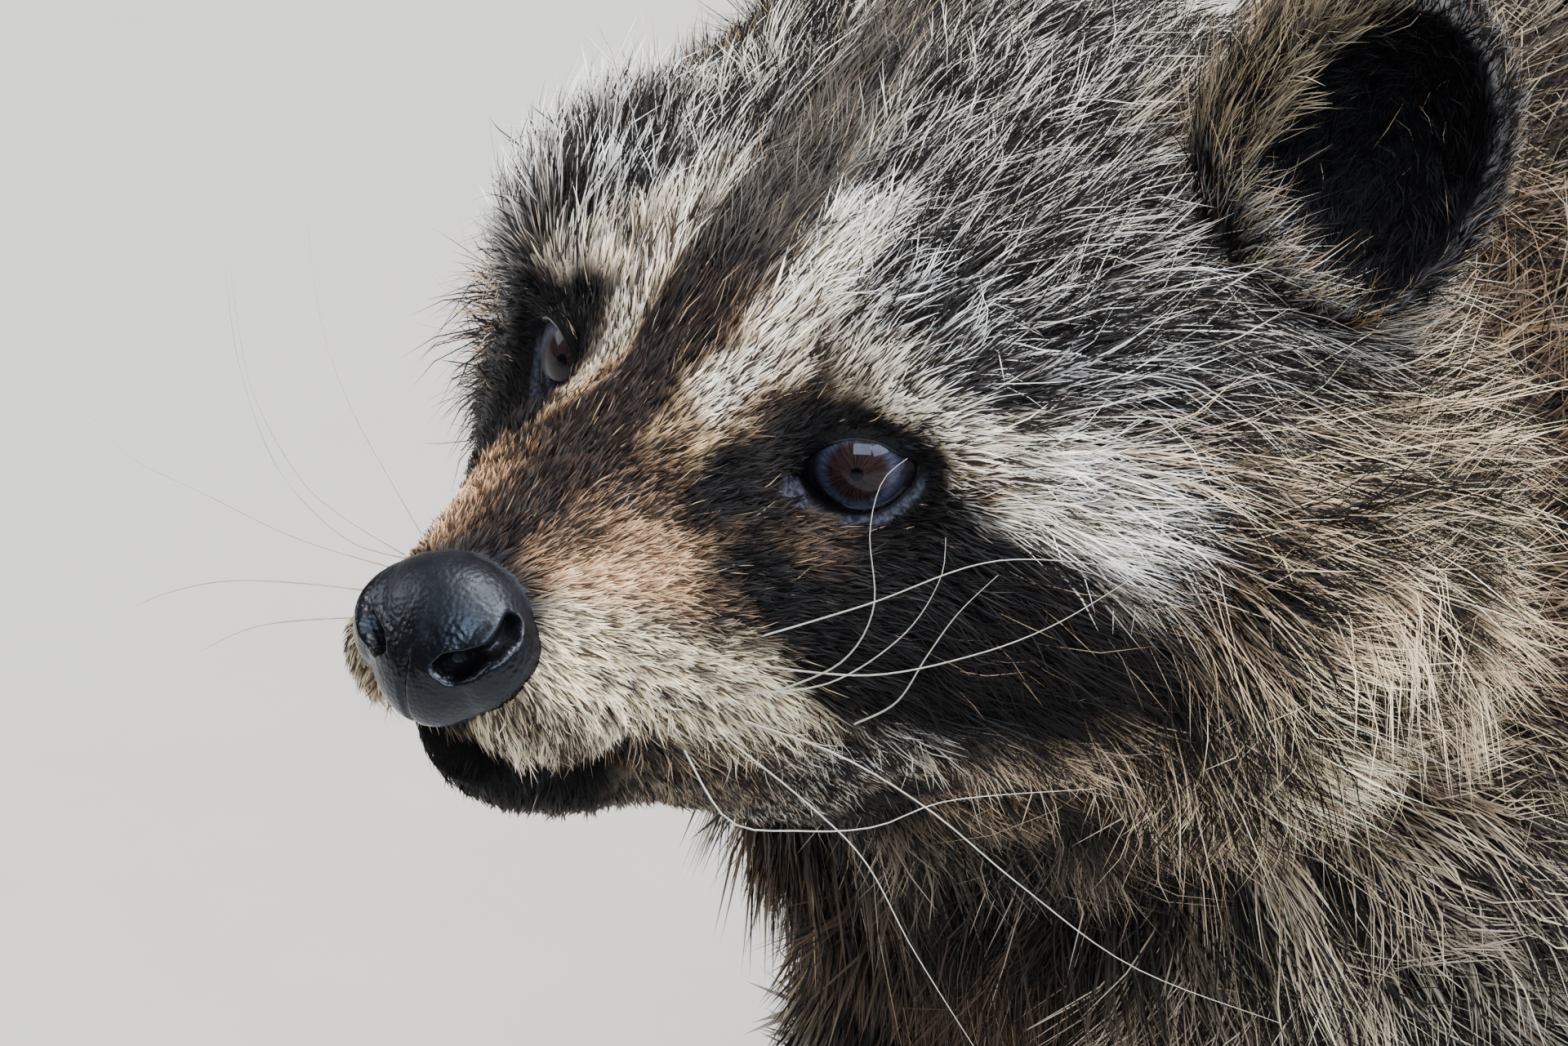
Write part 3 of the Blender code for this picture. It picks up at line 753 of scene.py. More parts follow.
def hairColour(points, partShares, normals, earAt):
    head = toHead(points)
    side = onLeft(head)
    x, y, z = side.T
    rows = np.zeros((len(points), 11))

    def paint(mask, name):
        nonlocal rows
        rows = rows + (tintRows[name] - rows) * mask[:, None]

    def part(*names):
        return partShares[:, [kinds.index(n) for n in names]].sum(1)

    blotch = waves(points, 26, 41)
    fine = waves(points, 6, 42)
    rows = rows + tintRows["back"]
    paint(ease(-normals[:, 2] + 0.12 * blotch, 0.1, 0.6), "belly")
    paint(0.3 * ease(blotch, 0.1, 1.0) * ease(normals[:, 2], -0.4, 0.5), "rufous")
    neck = part("neck")
    paint(neck * ease(z, -60, -20) * 0.85, "nape")
    paint(neck * ease(-z, 10, 40) * ease(fine + blotch, -0.6, 0.8) * 0.45, "ruff")
    paint(neck * ease(-z, 42, 60) * ease(92 - y, -10, 15) * ease(46 - side[:, 0], 0, 14), "chest")
    patchy = ease(fine + 0.6 * blotch, -1.2, 0.6)
    paint((neck + part("trunk")) * near(side, marks["ruff"], 7) * patchy, "ruff")
    low = part("foreleg", "hindleg", "forepaw", "hindpaw")
    paint(low * ease(230 - points[:, 2], 60, 130), "leg")
    paint(low * ease(36 + 6 * fine - points[:, 2], -6, 12) * 0.9, "foot")
    place, total, _ = alongLine(points, tailLine)
    turns = (place - tailMarks["first"]) / tailMarks["spacing"]
    rings = np.sin(turns * 2 * math.pi + 0.25 * fine) - 0.15
    tail = part("tail")
    paint(tail, "tailPale")
    paint(tail * ease(rings, -0.25, 0.25) * ease(place, 40, 70), "tailDark")
    paint(tail * ease(place, *(total - x for x in tailMarks["tip"])), "tailDark")
    # painted shade on the neck under the jaw: its hair darkened to near black
    for name in ("throat", "throatLow"):
        paint(neck * near(side + 2 * fine[:, None], marks[name], 9) * 0.92, "throat")

    wander = np.stack([1.2 * waves(points, 5, 50 + i) for i in range(3)], 1)
    jag = side + wander
    middle = head + wander
    banded = jag.copy()
    banded[:, 0] = np.abs(middle[:, 0] + markShift["band"])
    browed = jag.copy()
    browed[:, 2] -= markShift["farBrow"] * (head[:, 0] < 0)
    onHead = part("head")
    paint(onHead, "crown")
    paint(onHead * near(browed, marks["browHaze"], 9), "brow")
    paint(onHead * near(middle, marks["farFluff"], 6) * 0.9, "farWhite")
    paint(onHead * ease(10 - z + 4 * blotch, -6, 10) * ease(y, 8, 26), "cheek")
    paint(onHead * ease(y + 0.4 * (x - 45) + 4 * blotch, 46, 64) * ease(20 - z, 0, 10), "ruff")
    # painted shade under the jaw on the head
    paint(onHead * near(jag, marks["throat"], 5) * ease(-z, 40, 44), "throat")
    paint(onHead * ease(-y, -6, 4), "bridge")
    measured = {
        "side": jag,
        "whole": middle,
        "banded": banded,
        "bandMiddle": banded - (0, 0.4, 0.4),
        "browed": browed,
        "browEdge": browed + (0, 0, 2.2),
    }
    for mark, colour, soft, strength, places in faceLayers:
        paint(onHead * near(measured[places], marks[mark], soft) * strength, colour)
    rowAt = (z + 0.3 * y) / 4.6 + 0.12 * fine
    dotAt = y / 6.0 + np.floor(rowAt + 0.5) * 0.37 + 0.1 * blotch
    spots = np.cos(rowAt * 2 * math.pi) + 0.6 * np.cos(dotAt * 2 * math.pi)
    spots = ease(spots + 0.3 * fine, 0.1, 1.4) * near(side, marks["whiskers"], 5)
    paint(onHead * spots * 0.9, "spot")
    byPad = 1 - ease(noseReach(head) + 0.06 * fine, 1.02, 1.26)
    paint(onHead * byPad * ease(z, -27, -20), "noseFuzz")
    paint(onHead * ease(-z, 39.5, 42) * ease(16 - y, 0, 14), "chin")
    # the painted shade under the jaw again, over the chin colour
    for name in ("throat", "throatLow"):
        paint(onHead * near(jag, marks[name], 4) * ease(-z, 41.5, 45), "throat")
    paint(onHead * ease(-z, 37.8, 39) * (1 - ease(-z, 46.5, 49)) * ease(-y - 15, 0, 8), "lip")
    paint(onHead * ease(-y, 44, 47) * ease(-z, 33, 36) * (1 - ease(side[:, 0], 4, 8)), "lip")
    paint(onHead * near(jag, marks["earFront"], 3) * 0.75, "rufous")

    ear = part("ear")
    room, wide = (np.array(v) for v in earPlan["room"])
    within = np.linalg.norm((earAt - room) / wide, axis=1)
    paint(ear, "earBack")
    paint(ear * ease(1.55 - within, 0, 0.2) * ease(8 - earAt[:, 1], 0, 5), "earRim")
    paint(ear * ease(1.12 - within, 0, 0.08), "earCup")
    return rows


mouthLine = [(-70, -37.5), (-40, -38), (-12, -40.5), (12, -40.5), (24, -46), (30, -52)]


def makeSkin():
    # inside the outer shape by the coat's depth
    points = outerPoints - outerNormals * depths[:, None]
    sink = skinPlan["eyeSink"] * (1 - ease(aroundEye((2, -6, 0)), 9, 19)) * share("head")
    points = points - outerNormals * sink[:, None]
    mouth = np.array(mouthLine, float)
    level = np.interp(headPoints[:, 1], mouth[:, 0], mouth[:, 1])
    groove = np.exp(-(((headPoints[:, 2] - level) / 1.1) ** 2)) * ease(14 - headPoints[:, 1], 0, 8)
    points = points - outerNormals * (skinPlan["mouthSink"] * groove * share("head"))[:, None]
    under = 1 - ease(noseReach(headPoints), 0.93, 1.03)
    return points - outerNormals * (skinPlan["padSink"] * under)[:, None]


skinPoints = makeSkin()

# eyes and lids are made on the left and mirrored
eyePlan = {
    "radius": 8.25,
    "gaze": (0.487, -0.867, -0.10),
    "gazeFar": (0.04, -1.0, -0.03),  # the far eye looks the same way, so more inwards
    "cornea": 0.75,  # how far the clear front stands out
    "corneaAngle": 47,  # degrees from the gaze
    "rings": 56,
    "spokes": 72,
}
lidPlan = {
    # the opening's edge, from the inner corner over the top: towards the ear, and up
    "edge": [(-7.4, -1.9), (-6.2, -0.4), (-4.6, 1.7), (-1.8, 3.7), (1.6, 4.0), (4.4, 2.7),
             (6.6, 1.3), (6.5, -0.9), (5.6, -2.5), (3.8, -4.3), (1.2, -5.3), (-2.1, -5.5),
             (-4.8, -4.7), (-6.6, -3.3)],
    "middle": (-0.3, -0.8),
    "out": (0, 0.2, 0.5, 0.9, 1.4, 1.9, 2.4, 3.1, 3.9, 4.8),  # rings around it
    "samples": 96,
    "recess": 3.4,  # how far the edge lies below the skin
    "thick": 0.8,
    "lip": 0.3,
    "crease": (1.9, 0.45, 0.35),  # place, half width and depth
    "hidden": 4,  # how deep the closed back reaches
}


def gazeFrame(way):
    # rows: towards the ear, up, outwards
    way = unit(np.array(way))
    up = unit(np.array((0, 0, 1.0)) - way[2] * way)
    return np.stack([np.cross(up, way), up, way])


lidFrame = gazeFrame(eyePlan["gaze"])


def closedCurve(points, count):
    points = np.asarray(points, float)
    total = len(points)
    made = []
    for k in range(count):
        t = k / count * total
        i = int(t)
        t -= i
        a, b, c, d = (points[(i + j - 1) % total] for j in range(4))
        made.append(0.5 * (2 * b + (c - a) * t + (2 * a - 5 * b + 4 * c - d) * t * t
                           + (3 * b - a - 3 * c + d) * t ** 3))
    return np.array(made)


def bulge(away):
    # of the clear front, at so many degrees from the gaze
    return eyePlan["cornea"] * np.clip(1 - (away / eyePlan["corneaAngle"]) ** 2, 0, 1)


def ballHeight(flat):
    radius = eyePlan["radius"]
    far = np.minimum(np.linalg.norm(flat, axis=-1), radius * 0.985)
    height = np.sqrt(radius ** 2 - far ** 2)
    return height + bulge(np.degrees(np.arcsin(far / radius)))


def gridFaces(rows, columns, flip=False):
    faces = []
    for r in range(rows - 1):
        for c in range(columns):
            d = (c + 1) % columns
            quad = [r * columns + c, r * columns + d, (r + 1) * columns + d, (r + 1) * columns + c]
            faces.append(quad[::-1] if flip else quad)
    return faces


def ballFaces(rings, spokes, flip):
    # the two poles' points come last
    faces = []
    for a, b, c, d in gridFaces(rings, spokes, flip):
        faces += [(a, b, c), (a, c, d)]
    first, last, base = rings * spokes, rings * spokes + 1, (rings - 1) * spokes
    for c in range(spokes):
        d = (c + 1) % spokes
        caps = [(first, d, c), (last, base + c, base + d)]
        faces += [(a, c, b) for a, b, c in caps] if flip else caps
    return faces


def withPoles(points, spokes):
    return np.vstack([points, points[:spokes].mean(0), points[-spokes:].mean(0)])


def edgeAway(flat, edge):
    # how far outside the opening a place lies, measured from its middle
    middle = np.array(lidPlan["middle"])
    turns = np.arctan2(*(edge - middle).T[::-1])
    reach = np.linalg.norm(edge - middle, axis=1)
    order = np.argsort(turns)
    offset = flat - middle
    towards = np.arctan2(offset[:, 1], offset[:, 0])
    here = np.interp(towards, turns[order], reach[order], period=2 * math.pi)
    return np.linalg.norm(offset, axis=1) - here


def smoothed(row, rounds):
    for _ in range(rounds):
        row = 0.5 * row + 0.25 * (np.roll(row, 1) + np.roll(row, -1))
    return row


def lidRings(edge, outward, margin, landing):
    # from the hidden inner side over the rim and out to the skin; each point's way out with it
    ball = ballHeight(edge)
    far = lidPlan["out"][-1]
    top = ease(edge[:, 1], -1.5, 1.5)
    creaseAt, creaseWide, creaseDeep = lidPlan["crease"]
    rings = [
        np.column_stack([edge + outward * 3.5, ball - lidPlan["hidden"]]),
        np.column_stack([edge - outward * 0.3, ball - 1.2]),
        np.column_stack([edge - outward * 0.25, mixed(ball, margin, 0.7) - 0.1]),
    ]
    for out in lidPlan["out"]:
        flat = edge + outward * out
        t = out / far
        lip = lidPlan["lip"] * math.sin(min(1, out / 0.5) * math.pi / 2) * (1 - t)
        height = mixed(margin, landing, t ** 1.15) + lip
        over = ballHeight(flat) + lidPlan["thick"] * min(1, out / 0.9) * (1 - t)
        height = np.maximum(height, over * (t < 0.6))
        height = height - creaseDeep * math.exp(-(((out - creaseAt) / creaseWide) ** 2)) * top
        rings.append(np.column_stack([flat, height]))
    rings.append(np.column_stack([edge + outward * (far + 0.3), landing - lidPlan["hidden"]]))
    rim = [-1.0, -0.6, -0.3, *lidPlan["out"], far + 1]
    return np.concatenate(rings), np.repeat(rim, len(edge))


def skinUnderLids(local, close, beyond, verts, faces):
    # behind the ball in the opening, just under the lids around it, and unchanged further out
    tree = BVHTree.FromPolygons([Vector(p) for p in verts], faces)
    moved = local.copy()
    for i in np.nonzero(close)[0]:
        u, v, w = local[i]
        if beyond[i] < 0:
            moved[i, 2] = min(w, ballHeight(np.array((u, v))) - 3)
            continue
        hit = tree.ray_cast(Vector((u, v, 60)), Vector((0, 0, -1)))
        if hit[0]:
            moved[i, 2] = mixed(hit[0].z - 0.12, w, ease(beyond[i], 3.6, 4.8))
    return moved


def makeLids(sign):
    # one closed ring around the opening; also gives how bare of hair each point of the skin is
    local = (toHead(skinPoints) * (sign, 1, 1) - eyeSpot) @ lidFrame.T
    close = np.linalg.norm(local[:, :2], axis=1) < 20
    close &= (local[:, 2] > 0) & (toHead(skinPoints)[:, 0] * sign > 0)
    used = np.nonzero(close[tris].all(1))[0]
    tree = BVHTree.FromPolygons([Vector(p) for p in local], tris[used].tolist())

    def skinHeight(flat):
        hits = [tree.ray_cast(Vector((u, v, 60)), Vector((0, 0, -1)))[0] for u, v in flat]
        return np.array([hit.z if hit else 0 for hit in hits])

    edge = closedCurve(lidPlan["edge"], lidPlan["samples"])
    outward = unit(edge - np.array(lidPlan["middle"]))
    ball = ballHeight(edge)
    margin = np.maximum(ball + 0.15, skinHeight(edge) - lidPlan["recess"])
    margin = np.maximum(smoothed(margin, 4), ball + 0.1)
    landing = smoothed(skinHeight(edge + outward * lidPlan["out"][-1]), 3) - 0.2
    verts, rim = lidRings(edge, outward, margin, landing)
    count = len(edge)
    faces = gridFaces(len(verts) // count, count, flip=sign < 0)
    last = len(verts) - count
    for c in range(count):
        d = (c + 1) % count
        quad = [last + c, last + d, d, c]
        faces.append(quad[::-1] if sign < 0 else quad)
    beyond = np.full(vertCount, 9.0)
    beyond[close] = edgeAway(local[close, :2], edge)
    moved = skinUnderLids(local, close, beyond, verts, faces)
    low = ease(-local[:, 1], -0.5, 2.0)
    corner = ease(-local[:, 0], 5.5, 7.5) * (1 - ease(np.abs(local[:, 1] + 3.0), 1.2, 2.6))
    bare = 1 - ease(beyond - 0.7 * low - 1.5 * corner, 0.9, 1.7)
    skinPoints[close] = fromHead((moved @ lidFrame + eyeSpot) * (sign, 1, 1))[close]
    mesh = meshFrom("lid", fromHead((verts @ lidFrame + eyeSpot) * (sign, 1, 1)), faces)
    give(mesh, "rim", rim)  # way out from the edge
    give(mesh, "tear", ease(-verts[:, 0], 4.6, 6.8) * ease(-verts[:, 1], 0.2, 1.8))  # inner corner
    give(mesh, "lower", ease(-verts[:, 1], -0.8, 1.6))  # 1 on the lower lid
    return mesh, bare


def makeEyeball(sign):
    rings, spokes = eyePlan["rings"], eyePlan["spokes"]
    lean = 180 * (np.linspace(0.4, 179.6, rings) / 180) ** 1.25  # rings lie closer in front
    turn = np.arange(spokes) / spokes * 2 * math.pi
    lean, turn = np.meshgrid(np.radians(lean), turn, indexing="ij")
    ways = np.stack([np.sin(lean) * np.cos(turn), np.sin(lean) * np.sin(turn), np.cos(lean)], -1)
    out = eyePlan["radius"] + bulge(np.degrees(lean))
    local = withPoles((ways * out[..., None]).reshape(-1, 3), spokes)
    turned = gazeFrame(eyePlan["gaze" if sign > 0 else "gazeFar"])
    verts = (local @ turned + eyeSpot) * (sign, 1, 1)
    mesh = meshFrom("eyeball", fromHead(verts), ballFaces(rings, spokes, flip=sign > 0))
    polar = np.stack([np.cos(turn), np.sin(turn), np.degrees(lean) / 90], -1).reshape(-1, 3)
    polar = np.vstack([polar, [[0, 0, 0], [0, 0, 2]]])
    give(mesh, "polar", polar, "FLOAT_VECTOR")
    aside = np.sin(polar[:, 2] * math.pi / 2) * polar[:, 0]
    give(mesh, "dull", ease(aside, 0.2, 0.5) * (sign < 0))
    return mesh


lidMeshes, openings = {}, np.zeros(vertCount)
for letter, sign in (("L", 1), ("R", -1)):
    lidMeshes[letter], inside = makeLids(sign)
    openings = np.maximum(openings, inside)
nearEyes = 1 - ease(aroundEye((2, -6, 0)), 14, 20)
rootNormals = unit(mixed(outerNormals, relaxed(pointNormals(skinPoints), 3), nearEyes[:, None]))
say("lids")


def makeNose():
    rings, spokes = nosePlan["rings"], nosePlan["spokes"]
    lean, turn = np.meshgrid(
        np.linspace(0.012, math.pi - 0.012, rings),
        np.arange(spokes) / spokes * 2 * math.pi,
        indexing="ij",
    )
    ways = np.stack([np.sin(lean) * np.cos(turn), -np.cos(lean), np.sin(lean) * np.sin(turn)], -1)
    reach = 0
    for place, radii in nosePlan["lobes"]:
        place, radii = np.array(place), np.array(radii)
        a = ((ways / radii) ** 2).sum(-1)
        b = (ways * place / radii ** 2).sum(-1)
        c = ((place / radii) ** 2).sum() - 1
        inner = np.maximum(b * b - a * c, 0)
        far = np.where(b * b - a * c > 0, (b + np.sqrt(inner)) / a, 0)
        reach = reach + np.maximum(far, 0) ** 22
    reach = reach ** (1 / 22)
    for _ in range(5):
        wide = 0.25 * (np.roll(reach, 1, 1) + np.roll(reach, -1, 1)) + 0.5 * reach
        wide[1:-1] = 0.25 * (wide[:-2] + wide[2:]) + 0.5 * wide[1:-1]
        reach = wide
    centre = np.array(nosePlan["centre"], float)
    points = (ways * reach[..., None] + centre).reshape(-1, 3)
    side = onLeft(points)
    path = np.array(nosePlan["nostril"])
    lipWide, lipHigh = nosePlan["lip"]
    cleftWide, cleftDeep = nosePlan["cleft"]
    hollow = near(side, path, 0.55)
    lip = near(side, path + (0, 0, 0, lipWide), 1.0) - hollow
    cleft = np.exp(-((points[:, 0] / cleftWide) ** 2)) * ease(-points[:, 2], 24, 28)
    inward = unit(centre + (0, 6, 1) - points)
    sink = nosePlan["depth"] * hollow - lipHigh * lip + cleftDeep * cleft
    points = withPoles(points + inward * sink[:, None], spokes)
    mesh = meshFrom("nosePad", fromHead(points), ballFaces(rings, spokes, flip=True))
    give(mesh, "hollow", np.append(hollow, (0, 0)))
    # the pad's top, which the nose's material paints lighter as a painted sheen
    give(mesh, "upper", ease(points[:, 2], -27, -17))
    give(mesh, "rear", ease(points[:, 1] + 0.35 * points[:, 2], -51.5, -45))
    return mesh


def hairMaterial():
    shader = Shader("coatHair", Specular_IOR_Level=0.15, Specular_Tint=(0.6, 0.6, 0.6, 1))
    where = shader.place()
    colour = shader.own("coat")
    fine = shader.noise(where, 900.0, 2.0)
    patch = shader.noise(where, 60.0, 2.0)
    shade = 0.74 + fine * 0.34 + patch * 0.18
    grey = shader.node("ShaderNodeCombineXYZ", None, {0: shade, 1: shade, 2: shade})
    toned = shader.blend(1.0, colour, grey, "MULTIPLY")
    return shader.finish(Base_Color=toned, Roughness=0.42 + fine * 0.2)


def skinMaterial():
    shader = Shader("furredSkin", Specular_IOR_Level=0.05, Specular_Tint=(0.5, 0.5, 0.5, 1))
    where = shader.place()
    turned = shader.stretched(where, (2600, 420, 2600), (math.radians(18), 0, math.radians(-10)))
    lay = shader.noise(turned, 1.0, 3.0)
    fine = shader.noise(where, 1400.0, 2.0)
    shade = 0.45 + lay * 0.8 + fine * 0.2
    grey = shader.node("ShaderNodeCombineXYZ", None, {0: shade, 1: shade, 2: shade})
    toned = shader.blend(1.0, shader.own("coat"), grey, "MULTIPLY")
    normal = shader.bump(lay + 0.4 * fine, 0.5, 0.0004)
    return shader.finish(Base_Color=toned, Roughness=0.5 + lay * 0.3, Normal=normal)


def eyeMaterial():
    shader = Shader("wetEye", Specular_IOR_Level=0.17, Specular_Tint=(0.82, 0.9, 1, 1))
    polar = shader.own("polar", 1)
    lean = shader.node("ShaderNodeSeparateXYZ", None, {0: polar}, output=2) * 90
    spokesAt = shader.stretched(polar, (7, 7, 3.2))
    fibres = shader.noise(spokesAt, 2.4, 4.0, 0.65)
    cloud = shader.noise(polar, 2.2, 2.0)
    deep = shader.blend(fibres.clear(0.35, 0.7), tint((14, 9, 9)), tint((40, 27, 25)))
    haze = shader.blend(fibres.clear(0.3, 0.7), tint((28, 29, 38)), tint((52, 54, 68)))
    edge = lean + fibres * 5 + cloud * 4 - 4.5
    iris = shader.blend(edge.clear(22, 31), deep, haze)
    # a dark ring at the iris's edge: the limbus, darkened further as painted shade from the lids
    iris = shader.blend(edge.clear(31, 41) * 0.7, iris, tint((15, 14, 18)))
    pupil = (lean + cloud * 1.5).clear(5.6, 6.8)
    seen = shader.blend(pupil, tint((1, 1, 2)), iris)
    white = shader.blend(cloud.clear(0.35, 0.7), tint((12, 10, 11)), tint((30, 25, 26)))
    ball = shader.blend(edge.clear(41, 46), seen, white)
    rough = 0.03 + 0.02 * cloud + 0.12 * lean.clear(40, 50) + 0.8 * shader.own("dull", 2)
    return shader.finish(Base_Color=ball, Roughness=rough)


def lidMaterial():
    shader = Shader("lidSkin", Specular_IOR_Level=0.06, Coat_Roughness=0.08)
    where = shader.place()
    rim = shader.own("rim", 2)
    tear = shader.own("tear", 2)
    lower = shader.own("lower", 2)
    fine = shader.noise(where, 1700.0, 3.0)
    folds = shader.noise(shader.stretched(where, (500, 500, 1600)), 1.0, 2.0)
    black = shader.blend(fine, tint((3, 3, 3)), tint((12, 10, 10)))
    velvet = shader.blend(fine.clear(0.3, 0.75), tint((28, 28, 33)), tint((62, 64, 74)))
    band = rim.clear(0.4, 0.9) * (1 - rim.clear(1.4, 2.2)) * lower
    first = shader.blend(band * (0.45 + 0.55 * fine), black, velvet)
    flesh = shader.blend(fine.clear(0.3, 0.7), tint((20, 20, 24)), tint((58, 58, 68)))
    second = shader.blend(tear * rim.clear(0.1, 0.5) * (1 - rim.clear(2.6, 4.0)), first, flesh)
    wet = 1 - rim.clear(0.15, 0.6)
    normal = shader.bump(fine + folds * 1.5, 0.6, 0.0003)
    rough = 0.7 - 0.4 * wet
    return shader.finish(Base_Color=second, Roughness=rough, Coat_Weight=wet * 0.6, Normal=normal)


def noseMaterial():
    shader = Shader("noseSkin", Specular_IOR_Level=0.3, Specular_Tint=(0.78, 0.86, 1, 1))
    where = shader.place()
    sockets = {"Vector": where, "Scale": 1700.0}
    pebbles = shader.node("ShaderNodeTexVoronoi", {"feature": "SMOOTH_F1"}, sockets)
    mottle = shader.noise(where, 420.0, 4.0, 0.6)
    patches = shader.noise(where, 150.0, 2.0)
    hollow = shader.own("hollow", 2)
    upper = shader.own("upper", 2)
    # the pad is lighter in patches of wear, and towards its top as a painted sheen
    wearAndSheen = (patches * 0.6 + mottle * 0.6 + upper * 0.35).clear(0.55, 1.1)
    rear = (shader.own("rear", 2) + mottle * 0.5 - 0.25).clear(0.3, 1.0) * (1 - hollow)
    pad = shader.blend(wearAndSheen, tint((1, 1, 2)), tint((10, 11, 15)))
    fuzz = shader.noise(shader.stretched(where, (2600, 700, 2600)), 1.0, 3.0)
    pad = shader.blend(rear, pad, shader.blend(fuzz.clear(0.3, 0.7), tint((8, 8, 10)), tint((38, 38, 44))))
    colour = shader.blend(hollow, pad, tint((1, 1, 1)))
    moist = 0.2 + 0.24 * wearAndSheen + 0.12 * mottle + 0.3 * rear + 0.3 * hollow
    normal = shader.bump(pebbles * 0.7 + mottle * 0.5 + rear * fuzz * 2, 0.5, 0.0003)
    return shader.finish(Base_Color=colour, Roughness=moist, Normal=normal)


def clawMaterial():
    shader = Shader("clawHorn", Specular_IOR_Level=0.5)
    where = shader.place()
    grain = shader.noise(shader.stretched(where, (900, 160, 900)), 1.0, 3.0)
    colour = shader.blend(grain, tint((26, 21, 18)), tint((92, 78, 66)))
    normal = shader.bump(grain, 0.3, 0.0002)
    return shader.finish(Base_Color=colour, Roughness=0.3 + 0.25 * grain, Normal=normal)


def whiskerMaterial():
    shader = Shader("whiskerHorn", Specular_IOR_Level=0.5)
    where = shader.place()
    streak = shader.noise(where, 300.0, 2.0)
    colour = shader.blend(streak, tint((126, 120, 106)), tint((192, 188, 176)))
    return shader.finish(Base_Color=colour, Roughness=0.3 + 0.15 * streak)


def floorMaterial():
    shader = Shader("paleFloor", Specular_IOR_Level=0.2)
    where = shader.place()
    grain = shader.noise(where, 40.0, 2.0)
    colour = shader.blend(grain, tint((172, 169, 166)), tint((180, 177, 174)))
    return shader.finish(Base_Color=colour, Roughness=0.8 + 0.1 * grain)


hair = hairMaterial()
fleshNodes = [n for n in fleshNames if n.split("_")[0] not in ("eye", "nose")]


def makeSkinPiece():
    mesh = meshFrom("skin", skinPoints, tris)
    rows = hairColour(outerPoints, shares, outerNormals, earPlace)
    root, middle, tip = rows[:, 0:3], rows[:, 3:6], rows[:, 6:9]
    short = 1 - ease(lengths, 3.5, 9)
    visible = 0.3 * root + 0.45 * middle + 0.25 * tip
    # under long hair the skin takes the root colour darkened to 0.7, a painted shade beneath the coat
    colour = mixed(root * 0.7, visible, short[:, None])
    sole = ease(2.2 - outerPoints[:, 2], 0, 1.5) * share("forepaw", "hindpaw")
    colour = mixed(colour, np.array(linear((30, 26, 25))), sole[:, None])
    give(mesh, "coat", colour, "FLOAT_COLOR")
    giveMap(mesh, cornerMap)
    return shown("skin", mesh, skinMaterial(), fleshNodes)


makeSkinPiece()
lidSkin, wetEye = lidMaterial(), eyeMaterial()
for letter, sign in (("L", 1), ("R", -1)):
    shown(f"lids_{letter}", lidMeshes[letter], lidSkin)
    shown(f"eyeball_{letter}", makeEyeball(sign), wetEye, [f"eye_{letter}"])
shown("nosePad", makeNose(), noseMaterial(), ["nose"])
horn = clawMaterial()
for name in nodes:
    if name.startswith("claw"):
        nodes[name].data.materials.clear()
        nodes[name].data.materials.append(horn)
say("skin, eyes, nose and claws")

triArea = np.linalg.norm(faceNormals(skinPoints), axis=1) / 2
patchSize = 0.003  # of each hair on the bake map
paleHairs = {"width": 0.5, "longer": 1.25, "tint": (172, 146, 114)}  # long single ones, here and there
hairShape = ((0, 0.3, 0.7, 1), (0.8, 1, 0.85, 0))  # width along a hair, where its style gives none


def scatter(random, weight, count):
    # a face for each root, and the shares of its corners there
    ladder = np.cumsum(triArea * weight[tris].mean(1))
    face = np.searchsorted(ladder, random.random(count) * ladder[-1])
    part = random.random((count, 2))
    over = part.sum(1) > 1
    part[over] = 1 - part[over]
    return np.minimum(face, len(tris) - 1), np.column_stack([1 - part.sum(1), part])


def gatherLocks(random, root, count):
    # the hairs that lead the locks, and the lock that each hair is in
    heads = random.choice(len(root), min(count, len(root)), replace=False)
    tree = KDTree(len(heads))
    for i, index in enumerate(heads):
        tree.insert(root[index], i)
    tree.balance()
    return heads, np.array([tree.find(p)[1] for p in root])


def comb(random, style, root, length, lie, normal, lockTurn, lockLift):
    # each hair's stations, from root to tip
    count, stations = len(root), style["stations"]
    side = np.cross(normal, lie)
    turnStart = np.radians(style["turn"]) * (0.6 * lockTurn + 0.6 * random.normal(0, 1, count))
    turnEnd = turnStart + np.radians(style["curl"]) * random.normal(0, 1, count)
    liftStart = np.radians(style["lift"][0] + 5 * lockLift + 6 * random.normal(0, 1, count))
    liftEnd = np.radians(style["lift"][1] + 4 * lockLift + 7 * random.normal(0, 1, count))
    line = np.zeros((count, stations, 3))
    line[:, 0] = root
    for k in range(1, stations):
        t = (k - 0.5) / (stations - 1)
        lift = mixed(liftStart, liftEnd, t)[:, None]
        turn = mixed(turnStart, turnEnd, t)[:, None]
        way = np.cos(lift) * (np.cos(turn) * lie + np.sin(turn) * side) + np.sin(lift) * normal
        way[:, 2] -= style.get("droop", 0) * t
        line[:, k] = line[:, k - 1] + unit(way) * (length / (stations - 1))[:, None]
    return line


def acrossHairs(random, line, normal):
    # which way each hair is flat
    ahead = unit(np.gradient(line, axis=1))
    across = unit(np.cross(ahead, normal[:, None, :]))
    up = np.cross(across, ahead)
    roll = np.radians(45) * random.normal(0, 1, (len(line), 1, 1))
    roll = np.clip(roll, -1.3, 1.3)
    return np.cos(roll) * across + np.sin(roll) * up


def stripFaces(count, body):
    # a strip of triangles for each hair, with a point at its end
    pattern = []
    for k in range(body - 1):
        a, b = 2 * k, 2 * k + 1
        pattern += [(a, b, b + 2), (a, b + 2, a + 2)]
    pattern.append((2 * body - 2, 2 * body - 1, 2 * body))
    starts = np.arange(count) * (2 * body + 1)
    return (np.array(pattern)[None] + starts[:, None, None]).reshape(-1, 3)


